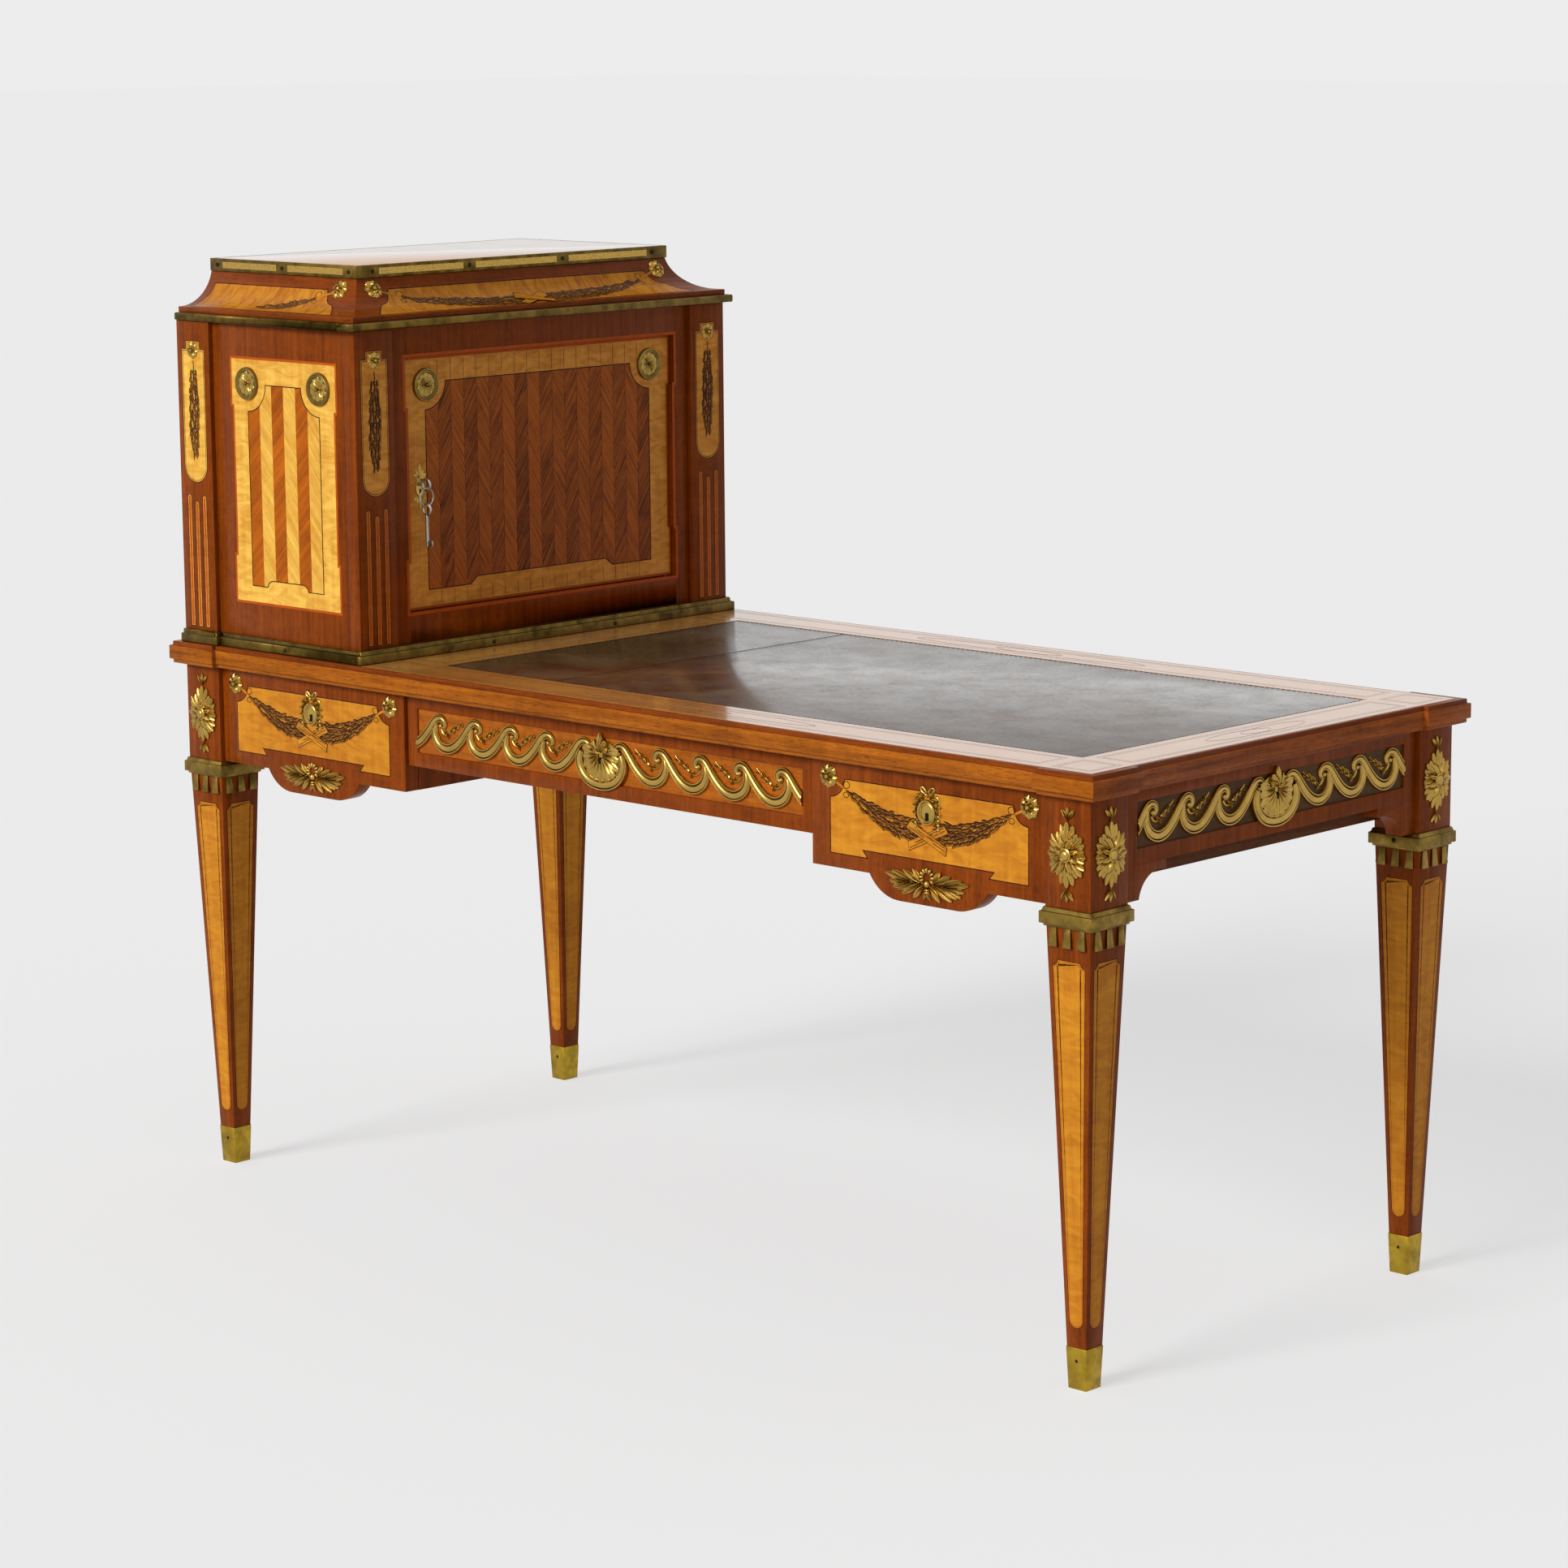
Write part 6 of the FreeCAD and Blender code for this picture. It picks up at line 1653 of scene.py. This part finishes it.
class DESK_OT_cove(bpy.types.Operator):
    """Inlay the cove under the cabinet's top with swags, and add its rosettes"""

    bl_idname = "desk.cove"
    bl_label = "Cove"

    def execute(self, context):
        low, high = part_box("cove_hood")
        foot = low.z + sizes().hood_rim
        places = []
        for name, y, sign in (("front", low.y, 1), ("back", high.y, -1)):
            bend = self.bend(facing(name, 0, y, foot), high.z - foot)
            places.append(self.flank(name + "_cove_inlay", bend, low.x, high.x, sign))
        bend = self.bend(facing("right", high.x, 0, foot), high.z - foot)
        places += self.door_side("right_cove_inlay", bend, high.y)
        mounts = bmesh.new()
        stamp(mounts, rosette_stamp(0.0146, 0.0060), places)
        finish_piece("cove_rosettes", mounts, ["gilt"], "table", "gilt_bronze", (), CAST_ANGLE)
        return {"FINISHED"}

    def flank(self, name, bend, back, edge, sign):
        """Inlay the cove over one flank of the cabinet with half a swag; returns its rosette's place."""
        margin, swag_start, swag_end, rosette = 0.0165, 0.225, 0.130, 0.091
        fore, rear = self.fore_end(bend, edge), back + margin
        outline = rounded([(rear, fore[0][1]), *fore, (rear, fore[-1][1])])
        if sign < 0:
            outline = [(-u, v) for u, v in reversed(outline)]
        bm = bmesh.new()
        self.inlay(bm, outline)
        self.swag(bm, bend, (edge - swag_start) * sign, (edge - swag_end) * sign, 0.008, True)
        self.lay(name, bm, bend, "cove_satin_long")
        return self.mount(bend, (edge - rosette) * sign)

    def door_side(self, name, bend, edge):
        """Inlay the cove over the door with a swag and crossing ribbons; returns its rosettes' places."""
        swag_start, swag_end, rosette, ribbon_level = 0.020, 0.132, 0.088, 0.026
        bm = bmesh.new()
        self.inlay(bm, rounded(mirrored(self.fore_end(bend, edge))))
        for sign in (-1, 1):
            self.swag(bm, bend, swag_start * sign, (edge - swag_end) * sign, 0.0092)
        ribbon = mirrored([(0.034, -0.0075), (0.032, 0.0075)])
        for turn, lift in ((0.42, 0.0006), (-0.42, 0.0010)):
            add_panel(bm, ribbon, spot(0, ribbon_level, lift, turn), [(0.0008, 2), 3])
        self.lay(name, bm, bend, "cove_satin_deep")
        return [self.mount(bend, (edge - rosette) * sign) for sign in (-1, 1)]

    def fore_end(self, bend, edge):
        """A panel's end beside a corner of the hood, from its foot up, hollowed round the rosette."""
        foot, notch_low, notch_high, head = 0.009, 0.0415, 0.052, bend.length - 0.0175
        lower, upper, hollow = 0.048, 0.059, 0.025
        ends = ((foot, lower, ()), (notch_low, lower, (-hollow,)), (notch_high, upper, ()), (head, upper, ()))
        return [(edge - bend.inward(level) - gap, level, *arc) for level, gap, arc in ends]

    def bend(self, place, tall):
        """A function that lays flat points (along, up the cove, out of it) on the cove's hollow face."""
        radius, deep = sizes().cove_radius, sizes().cove_reach
        chord = math.hypot(tall, deep)
        reach = math.sqrt(radius ** 2 - chord ** 2 / 4)
        centre = Vector((-deep / 2 + reach * tall / chord, tall / 2 + reach * deep / chord))
        first = math.atan2(-centre.y, -centre.x)
        last = math.atan2(tall - centre.y, -deep - centre.x)
        sweep = (last - first + math.pi) % FULL_TURN - math.pi

        def onto(point):
            angle = first + math.copysign(point.y / radius, sweep)
            out = centre.x + (radius - point.z) * math.cos(angle)
            up = centre.y + (radius - point.z) * math.sin(angle)
            return place @ Vector((point.x, up, out))

        def inward(level):
            return -centre.x - radius * math.cos(first + math.copysign(level / radius, sweep))

        onto.length = abs(sweep) * radius
        onto.inward = inward
        return onto

    def lay(self, name, bm, bend, satin):
        """Bend a flat inlay onto the cove and finish it."""
        for vert in bm.verts:
            vert.co = bend(vert.co)
        finish_piece(name, bm, ["stringing", satin, "swag_leaf", "ribbon_wood", "leaf_light"])

    def inlay(self, bm, outline):
        """A satinwood panel drawn flat and cut across so that it can be bent."""
        face = flat_face(bm, outline, -sizes().seat)
        ring = frame_in(bm, face, 0.0013, 0)
        face.material_index = 1
        foot, head = min(v for _, v in outline), max(v for _, v in outline)
        cuts = [foot + (head - foot) * step / 9 for step in range(1, 9)]
        faces = split_across(bm, [face, *ring], cuts, (0, 1, 0))
        raise_faces(bm, faces, sizes().veneer + sizes().seat, Matrix())

    def swag(self, bm, bend, start, end, full, tapered=False):
        """Half a laurel swag under its bow: full at its start, thin at its end by the rosette."""
        sign = 1 if end > start else -1
        level = bend.length - 0.033
        swag_bow(bm, spot(0, 0, 2 * LIFT), (end + 0.032 * sign, level + 0.012), (end, level))

        def path(share):
            v = level - 0.028 * math.sin(share * math.pi / 2) ** 0.8
            half = 0.0022 + full * math.sin(min(share * 1.2, 1.0) * math.pi / 2)
            if tapered:
                half *= min(1.0, 1.25 - share)
            return end + (start - end) * share, v, math.atan2(-0.22 * (1 - share), -1.0 * sign), half

        rows = max(14, int(abs(end - start) / 0.0048))
        add_laurel(bm, Matrix(), random.Random(5), rows, 0.0130, 0.0050, path)

    def mount(self, bend, along):
        """Place of a rosette high on the cove, standing out from its hollow."""
        level = bend.length - 0.017
        origin = bend(Vector((along, level, 0)))
        out = (bend(Vector((along, level, 0.01))) - origin).normalized()
        across = (bend(Vector((along + 0.01, level, 0))) - origin).normalized()
        matrix = Matrix((across, out.cross(across), out)).transposed().to_4x4()
        matrix.translation = origin
        return matrix


class DESK_OT_stage(bpy.types.Operator):
    """Set the floor, the light and the camera"""

    bl_idname = "desk.stage"
    bl_label = "Stage"

    def execute(self, context):
        settings = context.scene.desk_stage
        context.scene.view_settings.view_transform = "Standard"
        self.floor(settings)
        self.world(settings)
        self.lamp(settings)
        self.camera(settings)
        return {"FINISHED"}

    def floor(self, settings):
        """A wide pale floor that keeps the desk's soft shadow."""
        made = bpy.data.materials.new("backdrop")
        nodes = empty_tree(made)
        matt = nodes.add("ShaderNodeBsdfDiffuse", {"Color": (0.9, 0.9, 0.9, 1)})
        plain = nodes.add("ShaderNodeEmission", {"Color": WHITE, "Strength": 1.0})
        share = nodes.maths("MULTIPLY", nodes.seen(), settings.floor_glow)
        nodes.close(nodes.add("ShaderNodeMixShader", {0: share, 1: matt.outputs[0], 2: plain.outputs[0]}))
        bm = bmesh.new()
        bmesh.ops.create_grid(bm, x_segments=1, y_segments=1, size=settings.floor_half)
        mesh = pressed(bm, "floor")
        mesh.materials.append(made)
        floor = placed("floor", mesh)

    def world(self, settings):
        """Even light all round, brighter from the cabinet's end; plain backdrop where it is seen."""
        world = bpy.data.worlds.new("studio")
        bpy.context.scene.world = world
        nodes = empty_tree(world)
        way = nodes.add("ShaderNodeTexCoord").outputs["Generated"]
        parts = nodes.add("ShaderNodeSeparateXYZ", {0: way})
        even, tilt = settings.ambient, settings.ambient_tilt
        glow = nodes.spread(parts.outputs["X"], -1.0, 1.0, even * (1 + tilt), even * (1 - tilt))
        soft = nodes.add("ShaderNodeBackground", {"Color": WHITE, "Strength": glow})
        plain = nodes.add("ShaderNodeBackground", {"Color": tuple(settings.backdrop), "Strength": 1.0})
        mixed = nodes.add("ShaderNodeMixShader", {0: nodes.seen(), 1: soft.outputs[0], 2: plain.outputs[0]})
        nodes.add("ShaderNodeOutputWorld", {"Surface": mixed.outputs[0]})

    def lamp(self, settings):
        """A wide soft light from in front of the drawers and a little to their left."""
        data = bpy.data.lights.new("key_light", "SUN")
        data.energy = settings.key_strength
        data.angle = settings.key_spread
        lamp = placed("key_light", data)
        lamp.location = settings.key_place
        aim = Vector(settings.key_aim) - lamp.location
        lamp.rotation_euler = aim.to_track_quat("-Z", "Y").to_euler()

    def camera(self, settings):
        """The photograph's viewpoint."""
        turn, rise, roll = settings.azimuth, settings.elevation, settings.roll
        back = Vector((math.sin(turn) * math.cos(rise), -math.cos(turn) * math.cos(rise), math.sin(rise)))
        level = Vector((math.cos(turn), math.sin(turn), 0))
        above = back.cross(level)
        right = level * math.cos(roll) + above * math.sin(roll)
        up = above * math.cos(roll) - level * math.sin(roll)
        data = bpy.data.cameras.new("camera")
        data.lens = settings.lens
        data.sensor_width = 36.0
        data.clip_end = 200.0
        camera = placed("camera", data)
        matrix = Matrix((right, up, back)).transposed().to_4x4()
        matrix.translation = (settings.camera_x, settings.camera_y, settings.camera_z)
        camera.matrix_world = matrix
        bpy.context.scene.camera = camera


OPERATORS = (
    DESK_OT_case, DESK_OT_top, DESK_OT_legs, DESK_OT_drawer_inlay, DESK_OT_cabinet_inlay, DESK_OT_door,
    DESK_OT_scrolls, DESK_OT_mounts, DESK_OT_cabinet_brass, DESK_OT_cove, DESK_OT_stage)


class DESK_PT_panel(bpy.types.Panel):
    """Lists the steps that dress the desk"""

    bl_idname = "DESK_PT_panel"
    bl_label = "Writing desk"
    bl_space_type = "VIEW_3D"
    bl_region_type = "UI"
    bl_category = "Desk"

    def draw(self, context):
        for operator in OPERATORS:
            self.layout.operator(operator.bl_idname)


GROUPS = (("desk_sizes", DeskSizes), ("desk_colours", DeskColours), ("desk_stage", DeskStage))


def register():
    for _, group in GROUPS:
        bpy.utils.register_class(group)
    for name, group in GROUPS:
        setattr(bpy.types.Scene, name, PointerProperty(type=group))
    for operator in OPERATORS:
        bpy.utils.register_class(operator)
    bpy.utils.register_class(DESK_PT_panel)


def unregister():
    bpy.utils.unregister_class(DESK_PT_panel)
    for operator in reversed(OPERATORS):
        bpy.utils.unregister_class(operator)
    for name, group in reversed(GROUPS):
        delattr(bpy.types.Scene, name)
        bpy.utils.unregister_class(group)


def main():
    """Dress the desk step by step."""
    register()
    bpy.ops.desk.case()
    bpy.ops.desk.top()
    bpy.ops.desk.legs()
    bpy.ops.desk.drawer_inlay()
    bpy.ops.desk.cabinet_inlay()
    bpy.ops.desk.door()
    bpy.ops.desk.scrolls()
    bpy.ops.desk.mounts()
    bpy.ops.desk.cabinet_brass()
    bpy.ops.desk.cove()
    bpy.ops.desk.stage()


if __name__ == "__main__":
    main()
